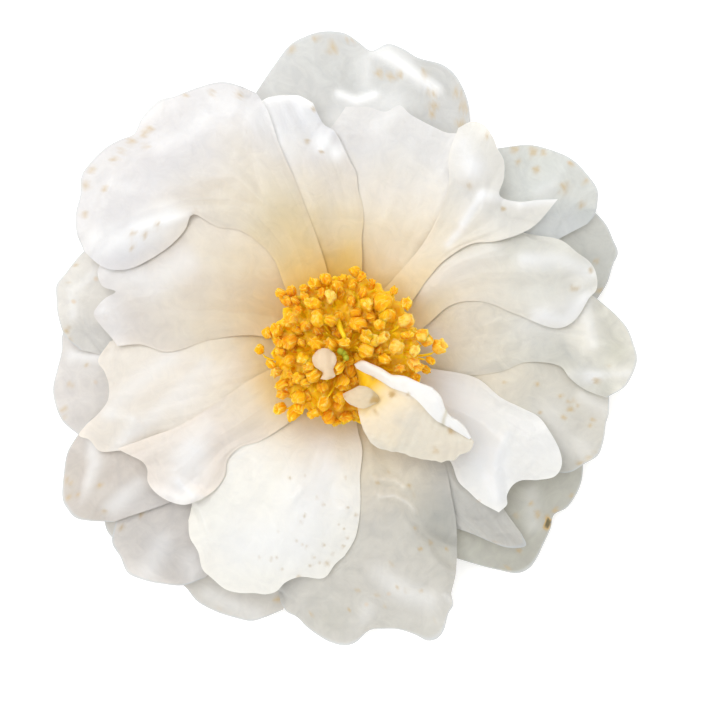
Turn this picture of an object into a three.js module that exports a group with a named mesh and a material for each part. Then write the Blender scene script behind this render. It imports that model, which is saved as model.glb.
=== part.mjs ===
// A white semi-double camellia bloom, cut and lying face up.
// Petals stand in six tiers round the stamens, on a receptacle with its calyx.
// Millimetres, +Z out of the open face. Angles are degrees anticlockwise from +X.
import * as THREE from 'three';

// Receptacle and cut stalk
const STALK_RADIUS = 2.6;
const STALK_HEIGHT = 1.2;
const RECEPTACLE_RADIUS = 6.2;
const RECEPTACLE_SHOULDER = 2.1;
const RECEPTACLE_TOP = 13.6;
const SEAT_GAP = 0.3;

// Petal feet, set round the receptacle
const CLAW_RADIUS = RECEPTACLE_RADIUS + SEAT_GAP;
const CLAW_HALF_ANGLE = 20;
const PETAL_THICKNESS_AT_CLAW = 0.9;
const PETAL_THICKNESS_AT_RIM = 0.5;
const PETAL_STEPS = 8;

// One tier's surface rises from its foot, levels off and droops to its rim
const TIER_ONE_HEIGHT = 5.5;
const TIER_STEP = 1.25;
const TIER_ONE_RISE = 8.5;
const RISE_STEP = 0.6;
const RISE_LENGTH = 12;
const TIER_ONE_DROOP = 10.5;
const DROOP_STEP = 0.6;
const DROOP_REACH = 43;
const DROOP_POWER = 2.2;

// Ruffles of a petal, strongest at its rim, and how far its sides stand above its middle
const RUFFLE_HEIGHT = 0.55;
const RUFFLE_WAVES = 1.5;
const RUFFLE_PHASE_STEP = 2.4;
const INNER_SIDE_LIFT = -0.3;
const OUTER_SIDE_LIFT = -0.4;
const NOMINAL_PETAL_REACH = 50;

// Calyx
const SEPAL_COUNT = 6;
const FIRST_SEPAL_TIER = -0.2;
const SEPAL_LENGTH = 11;
const SEPAL_HALF_ANGLE = 42;
const SEPAL_FIRST_ANGLE = 20;

// Stamens
const TUBE_RADIUS = 5.4;
const TUBE_TOP = 17.4;
const ANTHER_MASS_RADIUS = 14.6;
const ANTHER_MASS_BOTTOM = TUBE_TOP + SEAT_GAP;
const ANTHER_MASS_TOP = 27.6;
const ANTHER_UNEVENNESS = 0.5;
const HOLLOW_ANGLE = -65;
const HOLLOW_HALF_ANGLE = 54;
const HOLLOW_DEPTH_SHARE = 0.57;
const HOLLOW_RADIUS_SHARE = 0.2;
const STAMEN_SIDES = 24;

// Pistil
const PISTIL_X = -1.2;
const PISTIL_Y = -0.7;
const STYLE_RADIUS = 0.5;
const STIGMA_RADIUS = 1.1;
const PISTIL_FOOT = 26.2;
const PISTIL_HEIGHT = 2.3;

// Colours
const OUTER_WHITE = 0xf1f0ec;
const INNER_CREAM = 0xfaf3e8;
const CALYX_GREEN = 0x9aa35c;
const STAMEN_YELLOW = 0xf0c04a;
const ANTHER_ORANGE = 0xf0a526;
const PISTIL_GREEN = 0xb3bd3f;

// Each petal: tier, angle of its foot, then its outline as [angle, distance from the axis].
// cw and ccw are its clockwise and anticlockwise sides from foot to rim, tip is how far
// the rim droops below its tier.
const OUTER_PETALS = [
  {
    tier: 1, claw: 86, tip: 0, cw: [[66, 20], [61, 33]], ccw: [[107, 22], [112, 38]],
    rim: [[62, 44], [66, 48.5], [72, 51.5], [83, 53], [87, 51.5], [95, 55], [101, 53.5],
      [105, 50.5], [110, 47]],
  },
  {
    tier: 2, claw: 42, tip: 0, cw: [[30, 18], [27, 32]], ccw: [[55, 20], [58, 34]],
    rim: [[28, 46], [31, 49.5], [37, 50.5], [45, 48.5], [49, 46.5], [54, 42.5]],
  },
  {
    tier: 1, claw: 22, tip: 2.4, cw: [[9, 20], [7, 32]], ccw: [[35, 20], [39, 34]],
    rim: [[10, 42], [15, 45.5], [20, 49], [26, 49], [30, 48], [35, 45]],
  },
  {
    tier: 3, claw: 5, tip: 0, cw: [[-13, 19], [-5, 30], [-7, 38]], ccw: [[32, 20], [26, 32]],
    rim: [[-10.5, 44.5], [-8, 47], [-2, 49], [4.5, 47.5], [11, 43.5], [19, 39]],
  },
  {
    tier: 2, claw: -13, tip: 0, cw: [[-33, 20], [-34, 32]], ccw: [[14, 18], [8, 32]],
    rim: [[-31, 40.5], [-26, 44.5], [-20, 46], [-14, 45.5], [-4, 44]],
  },
  {
    tier: 1, claw: -45, tip: 2.6, cw: [[-66, 18], [-67, 30]], ccw: [[-22, 18], [-22, 34]],
    rim: [[-63, 40], [-56, 45.5], [-51, 48.5], [-45, 47], [-39, 45], [-32, 46], [-26, 44.5]],
  },
  {
    tier: 2, claw: -57, tip: 0, cw: [[-69, 17], [-67, 28]], ccw: [[-40, 16], [-42, 28]],
    rim: [[-61, 34.5], [-56, 38], [-51, 43.5], [-47, 43]],
  },
  {
    tier: 3, claw: -77, tip: 0, cw: [[-116, 18], [-114, 34]],
    ccw: [[-52, 16], [-50, 24.5], [-58, 34]],
    rim: [[-103.5, 43.5], [-99, 47.5], [-91, 50.5], [-86, 48], [-80, 48.5], [-75, 51.5],
      [-71, 50], [-67.5, 45]],
  },
  {
    tier: 1, claw: -122, tip: 1, cw: [[-142, 20], [-148, 36]], ccw: [[-100, 20], [-100, 34]],
    rim: [[-146, 51], [-136, 51.5], [-125, 49.5], [-117, 50.5], [-110, 49.5], [-104.5, 46]],
  },
  {
    tier: 2, claw: -132, tip: 0, cw: [[-146, 20], [-149, 34]], ccw: [[-116, 20], [-118, 34]],
    rim: [[-146, 47], [-141, 52.5], [-135, 54], [-129, 51.5], [-122.5, 46]],
  },
  {
    tier: 3, claw: -154, tip: 0, cw: [[-175, 19], [-172, 34]], ccw: [[-134, 18], [-138, 36]],
    rim: [[-165, 46], [-160, 51.5], [-152.5, 55.5], [-148.5, 55], [-144, 50]],
  },
  {
    tier: 1, claw: 187, tip: 1.2, cw: [[171, 20], [170, 34]], ccw: [[203, 20], [204, 34]],
    rim: [[172, 47], [180, 49.5], [187.5, 51.5], [193.5, 51], [200, 47]],
  },
  {
    tier: 2, claw: 168, tip: 0, cw: [[153, 20], [151, 34]], ccw: [[184, 20], [184, 34]],
    rim: [[155, 46], [162, 49.5], [167.5, 51.5], [173, 50.5], [180, 46]],
  },
  {
    tier: 1, claw: 138, tip: 2.4, cw: [[122, 20], [117, 32]], ccw: [[157, 20], [163, 34]],
    rim: [[118, 42], [125, 46], [137, 47], [147, 48], [157, 46], [163, 42]],
  },
];

const INNER_PETALS = [
  {
    tier: 5, claw: 97, tip: 0, cw: [[82, 15], [84, 22], [91, 34]], ccw: [[113, 18], [116, 34]],
    rim: [[98.5, 42.5], [103, 44.5], [109, 45], [114, 43]],
  },
  {
    tier: 4, claw: 70, tip: 0, cw: [[44, 17], [45, 29]], ccw: [[106, 18], [102, 32]],
    rim: [[49, 36], [57, 37], [66, 39.5], [73.5, 41], [78.5, 42.5], [91, 41.5]],
  },
  {
    tier: 5, claw: 52, tip: 0, cw: [[33, 14], [36, 24], [36, 34]],
    ccw: [[58, 15], [56, 24], [59, 33]],
    rim: [[36, 44], [45, 38], [51, 41.5], [59.5, 44.5], [66.5, 41]],
  },
  {
    tier: 4, claw: 22, tip: 0, cw: [[19, 13], [25, 20], [12, 29]], ccw: [[40, 18], [39, 30]],
    rim: [[1, 41.5], [7.5, 41.3], [14, 43.3], [19, 43.7], [25, 41.5], [32, 37]],
  },
  {
    tier: 4, claw: -32, tip: 0, cw: [[-49, 18], [-50, 30]], ccw: [[-12.5, 20], [-16, 26]],
    rim: [[-47.5, 37.5], [-42, 36.5], [-37.5, 36.5], [-31.5, 41], [-25.5, 39.5], [-18.5, 30.5]],
  },
  {
    tier: 4, claw: -105, tip: 0, cw: [[-142, 18], [-141, 32]], ccw: [[-83, 16], [-87, 29]],
    rim: [[-133.5, 40], [-127, 43], [-118, 46], [-109, 44], [-105, 41], [-96.5, 39],
      [-91.5, 35]],
  },
  {
    tier: 5, claw: -149, tip: 0, cw: [[-163, 18], [-156, 31]],
    ccw: [[-130, 14], [-138, 25], [-135, 33]],
    rim: [[-157, 43], [-150, 40], [-144, 41], [-140, 40], [-136, 37.5]],
  },
  {
    tier: 4, claw: 189, tip: 0, cw: [[167, 18], [171, 32]], ccw: [[213, 18], [211, 32]],
    rim: [[179, 41], [185, 42], [191.5, 42], [197.5, 48.5], [204, 43]],
  },
  {
    tier: 5, claw: 155, tip: 0, cw: [[123, 16], [125, 28]], ccw: [[173, 18], [180, 30]],
    rim: [[139, 41], [150, 45], [158, 45], [164, 45], [166, 42], [170, 43.5], [174.5, 42.5], [179, 39]],
  },
  {
    tier: 6, claw: 130, tip: 0, cw: [[106, 16], [109, 30]],
    ccw: [[138, 16], [132, 22], [138, 32], [149, 35]],
    rim: [[110, 46.5], [119.5, 51.5], [127.5, 53.5], [135, 52.5], [140.5, 54], [147, 54.5],
      [154, 52], [159.5, 48.5]],
  },
];

// The folded petaloid that stands in the stamens, as [x, y, z] along its edges
const PETALOID_FOOT = [[0.7, -2.7, 22.6], [1.5, -2.1, 22.6]];
const PETALOID_LOW_SIDE = [[1.7, -6, 23.6], [1.4, -9.4, 23.5], [2.2, -12.4, 22.8]];
const PETALOID_RIDGE = [[4.3, -2.7, 25.8], [8.5, -3.9, 27.6], [13.6, -6.6, 28], [16.8, -10.8, 26]];
const PETALOID_RIM = [
  [4.3, -16.2, 21], [8.5, -17.3, 20], [13.6, -18.6, 19.8], [18.4, -18.4, 20.6],
  [20.7, -16.4, 21.8], [20.1, -14.6, 23],
];
const PETALOID_THICKNESS = 0.7;

// Two small cream petaloids that lie on the anthers: place, half lengths and turn
const SMALL_PETALOIDS = [
  { x: -4.3, y: -1.9, z: 27.9, long: 2.5, wide: 1.9, high: 0.7, turn: 100 },
  { x: 1.4, y: -7.7, z: 25.1, long: 2.5, wide: 1.6, high: 0.6, turn: 0 },
];

function radians(degrees) {
  return THREE.MathUtils.degToRad(degrees);
}

function polar([angle, distance]) {
  const turn = radians(angle);
  return new THREE.Vector3(distance * Math.cos(turn), distance * Math.sin(turn), 0);
}

function triple([x, y, z]) {
  return new THREE.Vector3(x, y, z);
}

function tierHeight(tier, distance) {
  const reach = Math.max(distance - CLAW_RADIUS, 0);
  const foot = TIER_ONE_HEIGHT + (tier - 1) * TIER_STEP;
  const rise = TIER_ONE_RISE + (tier - 1) * RISE_STEP;
  const droop = TIER_ONE_DROOP - (tier - 1) * DROOP_STEP;
  const levelled = rise * (1 - Math.exp(-reach / RISE_LENGTH));
  return foot + levelled - droop * (reach / DROOP_REACH) ** DROOP_POWER;
}

// Distances along a chain of points, as shares of its whole length
function chainShares(points) {
  const shares = [0];
  for (let i = 1; i < points.length; i += 1) {
    shares.push(shares[i - 1] + points[i].distanceTo(points[i - 1]));
  }
  return shares.map((share) => share / shares[shares.length - 1]);
}

// A four-sided patch between a foot, two sides and a rim
function patchGrid(foot, sideA, sideB, rim, steps) {
  const shares = chainShares(rim);
  const curveA = new THREE.CatmullRomCurve3(sideA, false, 'centripetal');
  const curveB = new THREE.CatmullRomCurve3(sideB, false, 'centripetal');
  const rows = [];
  for (let i = 0; i <= steps; i += 1) {
    const u = i / steps;
    const a = curveA.getPointAt(u);
    const b = curveB.getPointAt(u);
    rows.push(rim.map((rimPoint, j) => {
      const v = shares[j];
      const point = new THREE.Vector3();
      point.addScaledVector(a, 1 - v).addScaledVector(b, v);
      point.addScaledVector(foot(v), 1 - u).addScaledVector(rimPoint, u);
      point.addScaledVector(foot(0), -(1 - u) * (1 - v)).addScaledVector(foot(1), -(1 - u) * v);
      point.addScaledVector(rim[0], -u * (1 - v)).addScaledVector(rim[rim.length - 1], -u * v);
      return point;
    }));
  }
  return rows;
}

// A closed blade: the grid's surface with half its thickness above and half below
function bladeGeometry(rows, thicknessAt) {
  const across = rows[0].length;
  const layer = rows.length * across;
  const positions = [];
  for (const side of [0.5, -0.5]) {
    rows.forEach((row, i) => {
      const offset = side * thicknessAt(i / (rows.length - 1));
      row.forEach((point) => positions.push(point.x, point.y, point.z + offset));
    });
  }
  const index = [];
  const quad = (a, b, c, d) => index.push(a, b, c, a, c, d);
  for (let i = 0; i + 1 < rows.length; i += 1) {
    for (let j = 0; j + 1 < across; j += 1) {
      const near = i * across + j;
      const far = near + across;
      quad(near, far, far + 1, near + 1);
      quad(layer + near, layer + near + 1, layer + far + 1, layer + far);
    }
  }
  const border = borderLoop(rows.length, across);
  border.forEach((corner, k) => {
    const next = border[(k + 1) % border.length];
    quad(corner, layer + corner, layer + next, next);
  });
  const geometry = new THREE.BufferGeometry();
  geometry.setAttribute('position', new THREE.Float32BufferAttribute(positions, 3));
  geometry.setIndex(index);
  geometry.computeVertexNormals();
  return geometry;
}

// The grid's border, anticlockwise as seen from above
function borderLoop(length, across) {
  const loop = [];
  for (let i = 0; i < length - 1; i += 1) loop.push(i * across);
  for (let j = 0; j < across - 1; j += 1) loop.push((length - 1) * across + j);
  for (let i = length - 1; i > 0; i -= 1) loop.push(i * across + across - 1);
  for (let j = across - 1; j > 0; j -= 1) loop.push(j);
  return loop;
}

function petalThickness(u) {
  return THREE.MathUtils.lerp(PETAL_THICKNESS_AT_CLAW, PETAL_THICKNESS_AT_RIM, u);
}

function petalGeometry(petal, phase, sideLift) {
  const footAngle = (v) => petal.claw + (2 * v - 1) * CLAW_HALF_ANGLE;
  const foot = (v) => polar([footAngle(v), CLAW_RADIUS]);
  const rim = petal.rim.map(polar);
  const sideA = [foot(0), ...petal.cw.map(polar), rim[0]];
  const sideB = [foot(1), ...petal.ccw.map(polar), rim[rim.length - 1]];
  const rows = patchGrid(foot, sideA, sideB, rim, PETAL_STEPS);
  rows.forEach((row, i) => {
    const u = i / PETAL_STEPS;
    row.forEach((point, j) => {
      const distance = Math.hypot(point.x, point.y);
      const outward = (distance - CLAW_RADIUS) / (NOMINAL_PETAL_REACH - CLAW_RADIUS);
      const v = j / (row.length - 1);
      const wave = Math.sin(2 * Math.PI * RUFFLE_WAVES * v + phase);
      point.z = tierHeight(petal.tier, distance) - petal.tip * u ** 4;
      point.z += RUFFLE_HEIGHT * outward ** 2 * wave;
      point.z += sideLift * (2 * v - 1) ** 2 * Math.sin(Math.PI * u / 1.3);
    });
  });
  return bladeGeometry(rows, petalThickness);
}

// A sepal is a short, pointed blade in one of two tiers below the petals
function sepalGeometry(number) {
  const claw = SEPAL_FIRST_ANGLE + number * 360 / SEPAL_COUNT;
  const reach = (share) => CLAW_RADIUS + share * SEPAL_LENGTH;
  const sepal = {
    tier: FIRST_SEPAL_TIER - number % 2,
    claw,
    tip: 0,
    cw: [[claw - SEPAL_HALF_ANGLE, reach(0.4)]],
    ccw: [[claw + SEPAL_HALF_ANGLE, reach(0.4)]],
    rim: [-0.75, -0.35, 0, 0.35, 0.75].map((share) => {
      return [claw + share * SEPAL_HALF_ANGLE, reach(1 - 0.5 * share ** 2)];
    }),
  };
  return petalGeometry(sepal, number, 0);
}

// A solid of revolution about the vertical axis, from [radius, height] pairs
function turned(profile, sides) {
  const outline = profile.map(([radius, height]) => new THREE.Vector2(radius, height));
  return new THREE.LatheGeometry(outline, sides).rotateX(Math.PI / 2);
}

function receptacleGeometry() {
  return turned([
    [0, 0],
    [STALK_RADIUS - SEAT_GAP, 0],
    [STALK_RADIUS, STALK_HEIGHT],
    [RECEPTACLE_RADIUS, RECEPTACLE_SHOULDER],
    [RECEPTACLE_RADIUS, RECEPTACLE_TOP - 0.8],
    [TUBE_RADIUS, RECEPTACLE_TOP],
    [0, RECEPTACLE_TOP],
  ], STAMEN_SIDES);
}

function stamenTubeGeometry() {
  return turned([
    [0, RECEPTACLE_TOP + SEAT_GAP],
    [TUBE_RADIUS, RECEPTACLE_TOP + SEAT_GAP],
    [TUBE_RADIUS + 0.4, TUBE_TOP],
    [0, TUBE_TOP],
  ], STAMEN_SIDES);
}

// How deep the anther mass sinks under the folded petaloid at this angle, 0 to 1
function hollowShare(x, y) {
  const angle = THREE.MathUtils.radToDeg(Math.atan2(y, x));
  const away = Math.abs(angle - HOLLOW_ANGLE) / HOLLOW_HALF_ANGLE;
  return away < 1 ? Math.cos(away * Math.PI / 2) ** 0.6 : 0;
}

function antherMassGeometry() {
  const bottom = ANTHER_MASS_BOTTOM;
  const depth = ANTHER_MASS_TOP - bottom;
  const wide = ANTHER_MASS_RADIUS;
  const geometry = turned([
    [0, bottom],
    [0.42 * wide, bottom],
    [0.64 * wide, bottom + 0.12 * depth],
    [0.88 * wide, bottom + 0.45 * depth],
    [wide, bottom + 0.78 * depth],
    [0.84 * wide, bottom + depth],
    [0.55 * wide, bottom + 0.98 * depth],
    [0.25 * wide, bottom + 0.84 * depth],
    [0, bottom + 0.78 * depth],
  ], STAMEN_SIDES);
  const position = geometry.attributes.position;
  for (let i = 0; i < position.count; i += 1) {
    const x = position.getX(i);
    const y = position.getY(i);
    const height = position.getZ(i) - bottom;
    const radius = Math.hypot(x, y);
    const hollow = radius > 0.1 ? hollowShare(x, y) * Math.min(1, radius / 3) : 0;
    const angle = Math.atan2(y, x);
    const bump = ANTHER_UNEVENNESS * Math.sin(5 * angle + radius) * Math.cos(3 * angle - radius);
    const outward = 1 - HOLLOW_RADIUS_SHARE * hollow + 0.04 * Math.sin(4 * angle) * height / depth;
    const share = (1 - HOLLOW_DEPTH_SHARE * hollow) + bump / depth * (radius > 0.1 ? 1 : 0);
    position.setXYZ(i, x * outward, y * outward, bottom + height * share);
  }
  return geometry;
}

function pistilGeometry() {
  const top = PISTIL_FOOT + PISTIL_HEIGHT;
  const geometry = turned([
    [0, PISTIL_FOOT],
    [STYLE_RADIUS, PISTIL_FOOT],
    [STYLE_RADIUS, top - STIGMA_RADIUS],
    [STIGMA_RADIUS, top - 0.4],
    [STIGMA_RADIUS - 0.3, top],
    [0, top - 0.2],
  ], 10);
  return geometry.translate(PISTIL_X, PISTIL_Y, 0);
}

function petaloidGeometry() {
  const [low, high] = PETALOID_FOOT.map(triple);
  const rim = PETALOID_RIM.map(triple);
  const foot = (v) => low.clone().lerp(high, v);
  const sideA = [low, ...PETALOID_LOW_SIDE.map(triple), rim[0]];
  const sideB = [high, ...PETALOID_RIDGE.map(triple), rim[rim.length - 1]];
  const rows = patchGrid(foot, sideA, sideB, rim, PETAL_STEPS);
  return bladeGeometry(rows, () => PETALOID_THICKNESS);
}

function smallPetaloidGeometry({ x, y, z, long, wide, high, turn }) {
  const geometry = new THREE.SphereGeometry(1, 10, 6).scale(long, wide, high);
  return geometry.rotateZ(radians(turn)).translate(x, y, z);
}

const bloom = new THREE.Group();

function add(name, geometry, color, roughness) {
  const material = new THREE.MeshStandardMaterial({ color, roughness, metalness: 0 });
  const mesh = new THREE.Mesh(geometry, material);
  mesh.name = name;
  bloom.add(mesh);
}

add('receptacle', receptacleGeometry(), CALYX_GREEN, 0.7);
for (let i = 0; i < SEPAL_COUNT; i += 1) {
  add(`sepal_${i + 1}`, sepalGeometry(i), CALYX_GREEN, 0.7);
}
OUTER_PETALS.forEach((petal, i) => {
  const geometry = petalGeometry(petal, i * RUFFLE_PHASE_STEP, OUTER_SIDE_LIFT);
  add(`outer_petal_${i + 1}`, geometry, OUTER_WHITE, 0.5);
});
INNER_PETALS.forEach((petal, i) => {
  const geometry = petalGeometry(petal, (i + 0.5) * RUFFLE_PHASE_STEP, INNER_SIDE_LIFT);
  add(`inner_petal_${i + 1}`, geometry, INNER_CREAM, 0.5);
});
add('stamen_tube', stamenTubeGeometry(), STAMEN_YELLOW, 0.6);
add('anther_mass', antherMassGeometry(), ANTHER_ORANGE, 0.7);
add('pistil', pistilGeometry(), PISTIL_GREEN, 0.5);
add('folded_petaloid', petaloidGeometry(), INNER_CREAM, 0.5);
SMALL_PETALOIDS.forEach((petaloid, i) => {
  add(`small_petaloid_${i + 1}`, smallPetaloidGeometry(petaloid), INNER_CREAM, 0.5);
});

// The bloom lies with its lowest point at zero and its outline centred on the origin
const box = new THREE.Box3().setFromObject(bloom);
const middle = box.getCenter(new THREE.Vector3());
bloom.position.set(-middle.x, -middle.y, -box.min.z);

export default bloom;
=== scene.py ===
# A white semi-double camellia bloom, cut and lying face up on a pale floor, seen from straight above.
# Sizes and places in the tables are in millimetres, from the bloom's axis, +X right and +Y up in that view.
import math
import random

import bpy
import numpy as np
from mathutils import Matrix, Quaternion, Vector, noise


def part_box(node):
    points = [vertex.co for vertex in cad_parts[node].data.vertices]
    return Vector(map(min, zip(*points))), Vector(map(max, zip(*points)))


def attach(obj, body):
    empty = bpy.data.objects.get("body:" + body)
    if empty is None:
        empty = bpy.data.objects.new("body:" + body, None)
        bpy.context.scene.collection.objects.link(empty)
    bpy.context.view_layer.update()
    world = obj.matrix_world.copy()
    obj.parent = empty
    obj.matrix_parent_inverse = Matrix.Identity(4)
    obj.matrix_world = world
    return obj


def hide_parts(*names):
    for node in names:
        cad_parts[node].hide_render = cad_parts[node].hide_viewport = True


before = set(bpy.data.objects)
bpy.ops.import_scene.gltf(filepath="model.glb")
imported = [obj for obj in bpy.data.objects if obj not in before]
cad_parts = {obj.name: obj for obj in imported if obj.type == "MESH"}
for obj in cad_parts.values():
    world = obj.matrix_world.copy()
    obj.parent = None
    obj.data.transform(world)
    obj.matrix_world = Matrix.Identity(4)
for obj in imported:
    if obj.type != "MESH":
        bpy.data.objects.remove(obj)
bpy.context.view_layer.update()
print("frame loaded:", len(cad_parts), "nodes")

mm = 0.001
receptacleLow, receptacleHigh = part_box("receptacle")
axisX = (receptacleLow.x + receptacleHigh.x) / 2
axisY = (receptacleLow.y + receptacleHigh.y) / 2
seatZ = receptacleLow.z


# Selecting, applying and placing

def select(*pieces):
    # only these, with the first one active
    bpy.ops.object.select_all(action="DESELECT")
    for piece in pieces:
        piece.select_set(True)
    bpy.context.view_layer.objects.active = pieces[0] if pieces else None


def applyModifiers(piece):
    select(piece)
    for modifier in list(piece.modifiers):
        bpy.ops.object.modifier_apply(modifier=modifier.name)


def readPoints(piece):
    points = np.empty(len(piece.data.vertices) * 3)
    piece.data.vertices.foreach_get("co", points)
    return points.reshape(-1, 3)


def writePoints(piece, points):
    piece.data.vertices.foreach_set("co", points.astype(np.float32).ravel())
    piece.data.update()


def place(points):
    # millimetres about the bloom's axis to the shared frame
    return points * mm + (axisX, axisY, seatZ)


def paint(piece, name, values):
    layer = piece.data.attributes.new(name, "FLOAT", "POINT")
    layer.data.foreach_set("value", np.asarray(values, np.float32))


def joinAll(pieces, name):
    # their places go into the mesh, so that the object sits at the origin
    select(*pieces)
    bpy.ops.object.join()
    joined = bpy.context.object
    joined.name = name
    bpy.ops.object.transform_apply(location=True, rotation=True, scale=True)
    return joined


def finishPiece(piece, name, material, nodes):
    piece.name = name
    piece.data.materials.clear()
    piece.data.materials.append(material)
    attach(piece, "root")
    if nodes:
        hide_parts(*nodes)


# Lines and distances

def polar(pair):
    turn = math.radians(pair[0])
    return (pair[1] * math.cos(turn), pair[1] * math.sin(turn))


def smoothLine(points, steps):
    # a smooth line through the points, cut into steps of equal length
    p = np.array(points, float)
    gaps = np.linalg.norm(np.diff(p, axis=0), axis=1)
    t = np.concatenate([[0], np.cumsum(gaps ** 0.5)])
    slope = np.gradient(p, t, axis=0)
    s = np.linspace(0, t[-1], 40 * len(p))
    i = np.clip(np.searchsorted(t, s, side="right") - 1, 0, len(p) - 2)
    h = (t[i + 1] - t[i])[:, None]
    k = (s[:, None] - t[i][:, None]) / h
    dense = (2 * k ** 3 - 3 * k ** 2 + 1) * p[i] + (k ** 3 - 2 * k ** 2 + k) * h * slope[i]
    dense += (3 * k ** 2 - 2 * k ** 3) * p[i + 1] + (k ** 3 - k ** 2) * h * slope[i + 1]
    run = np.concatenate([[0], np.cumsum(np.linalg.norm(np.diff(dense, axis=0), axis=1))])
    even = np.linspace(0, run[-1], steps + 1)
    return np.stack([np.interp(even, run, dense[:, a]) for a in range(p.shape[1])], axis=1)


def lineDistance(spots, line):
    # how far each spot lies from a broken line
    line = np.array(line, float)
    if len(line) == 1:
        return np.linalg.norm(spots - line[0], axis=-1)
    nearest = np.full(spots.shape[:-1], np.inf)
    for a, b in zip(line, line[1:]):
        along = b - a
        share = np.clip(((spots - a) @ along) / (along @ along), 0, 1)
        nearest = np.minimum(nearest, np.linalg.norm(spots - (a + share[..., None] * along), axis=-1))
    return nearest


def patch(foot, sideA, sideB, rim):
    # a four-sided sheet between a foot, two sides and a rim, each given as points
    u = np.linspace(0, 1, len(sideA))[:, None, None]
    v = np.linspace(0, 1, len(rim))[None, :, None]
    sides = (1 - v) * sideA[:, None] + v * sideB[:, None]
    ends = (1 - u) * foot[None] + u * rim[None]
    corners = (1 - u) * ((1 - v) * foot[0] + v * foot[-1]) + u * ((1 - v) * rim[0] + v * rim[-1])
    return sides + ends - corners


def bumps(points, size, seed):
    # soft random height, about -1 to 1; size is a bump's width each way, in the points' own units
    flat = points.reshape(-1, points.shape[-1])
    values = [noise.noise(Vector((p[0] / size[0], p[1] / size[1], seed))) for p in flat]
    return np.array(values).reshape(points.shape[:-1]) * 1.6


# Materials

def addNode(tree, kind, inputs=None, **settings):
    made = tree.nodes.new(kind)
    for key, value in settings.items():
        setattr(made, key, value)
    for key, value in (inputs or {}).items():
        if isinstance(value, bpy.types.NodeSocket):
            tree.links.new(value, made.inputs[key])
        else:
            made.inputs[key].default_value = value
    return made


def newMaterial(name, roughness, subsurface=0.0, radius=(1, 1, 1), scale=mm, sheen=0.0, specular=0.4):
    material = bpy.data.materials.new(name)
    material.use_nodes = True
    shader = material.node_tree.nodes["Principled BSDF"]
    shader.inputs["Roughness"].default_value = roughness
    shader.inputs["Subsurface Weight"].default_value = subsurface
    shader.inputs["Subsurface Radius"].default_value = radius
    shader.inputs["Subsurface Scale"].default_value = scale
    shader.inputs["Sheen Weight"].default_value = sheen
    shader.inputs["Specular IOR Level"].default_value = specular
    return material, material.node_tree, shader


def mixColor(tree, factor, a, b, blend="MIX"):
    mixed = addNode(tree, "ShaderNodeMix", data_type="RGBA", blend_type=blend)
    for socket, value in ((mixed.inputs[0], factor), (mixed.inputs[6], a), (mixed.inputs[7], b)):
        if isinstance(value, bpy.types.NodeSocket):
            tree.links.new(value, socket)
        else:
            socket.default_value = value
    return mixed.outputs[2]


def ramp(tree, factor, stops):
    made = addNode(tree, "ShaderNodeValToRGB", {"Fac": factor})
    elements = made.color_ramp.elements
    elements[0].position, elements[0].color = stops[0]
    elements[1].position, elements[1].color = stops[-1]
    for position, color in stops[1:-1]:
        elements.new(position).color = color
    return made.outputs["Color"]


def calculate(tree, operation, *values, clamp=False):
    made = addNode(tree, "ShaderNodeMath", dict(enumerate(values)), operation=operation, use_clamp=clamp)
    return made.outputs[0]


def noiseOn(tree, vector, scale, detail=2.0, roughness=0.5, distortion=0.0):
    return addNode(tree, "ShaderNodeTexNoise", {
        "Vector": vector, "Scale": scale, "Detail": detail, "Roughness": roughness,
        "Distortion": distortion}).outputs["Fac"]


def remap(tree, value, low, high, toMax=1.0, toMin=0.0):
    return addNode(tree, "ShaderNodeMapRange", {
        "Value": value, "From Min": low, "From Max": high, "To Min": toMin, "To Max": toMax}).outputs[0]


def mapped(tree, vector, scale, location=(0, 0, 0)):
    return addNode(tree, "ShaderNodeMapping", {
        "Vector": vector, "Scale": scale, "Location": location}).outputs[0]


def partOf(tree, vector, axis):
    return addNode(tree, "ShaderNodeSeparateXYZ", {0: vector}).outputs[axis]


def painted(tree, name):
    return addNode(tree, "ShaderNodeAttribute", attribute_name=name).outputs["Fac"]


def addBump(tree, shader, height, strength, distance):
    bump = addNode(tree, "ShaderNodeBump", {"Height": height, "Strength": strength, "Distance": distance})
    tree.links.new(bump.outputs[0], shader.inputs["Normal"])


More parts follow.
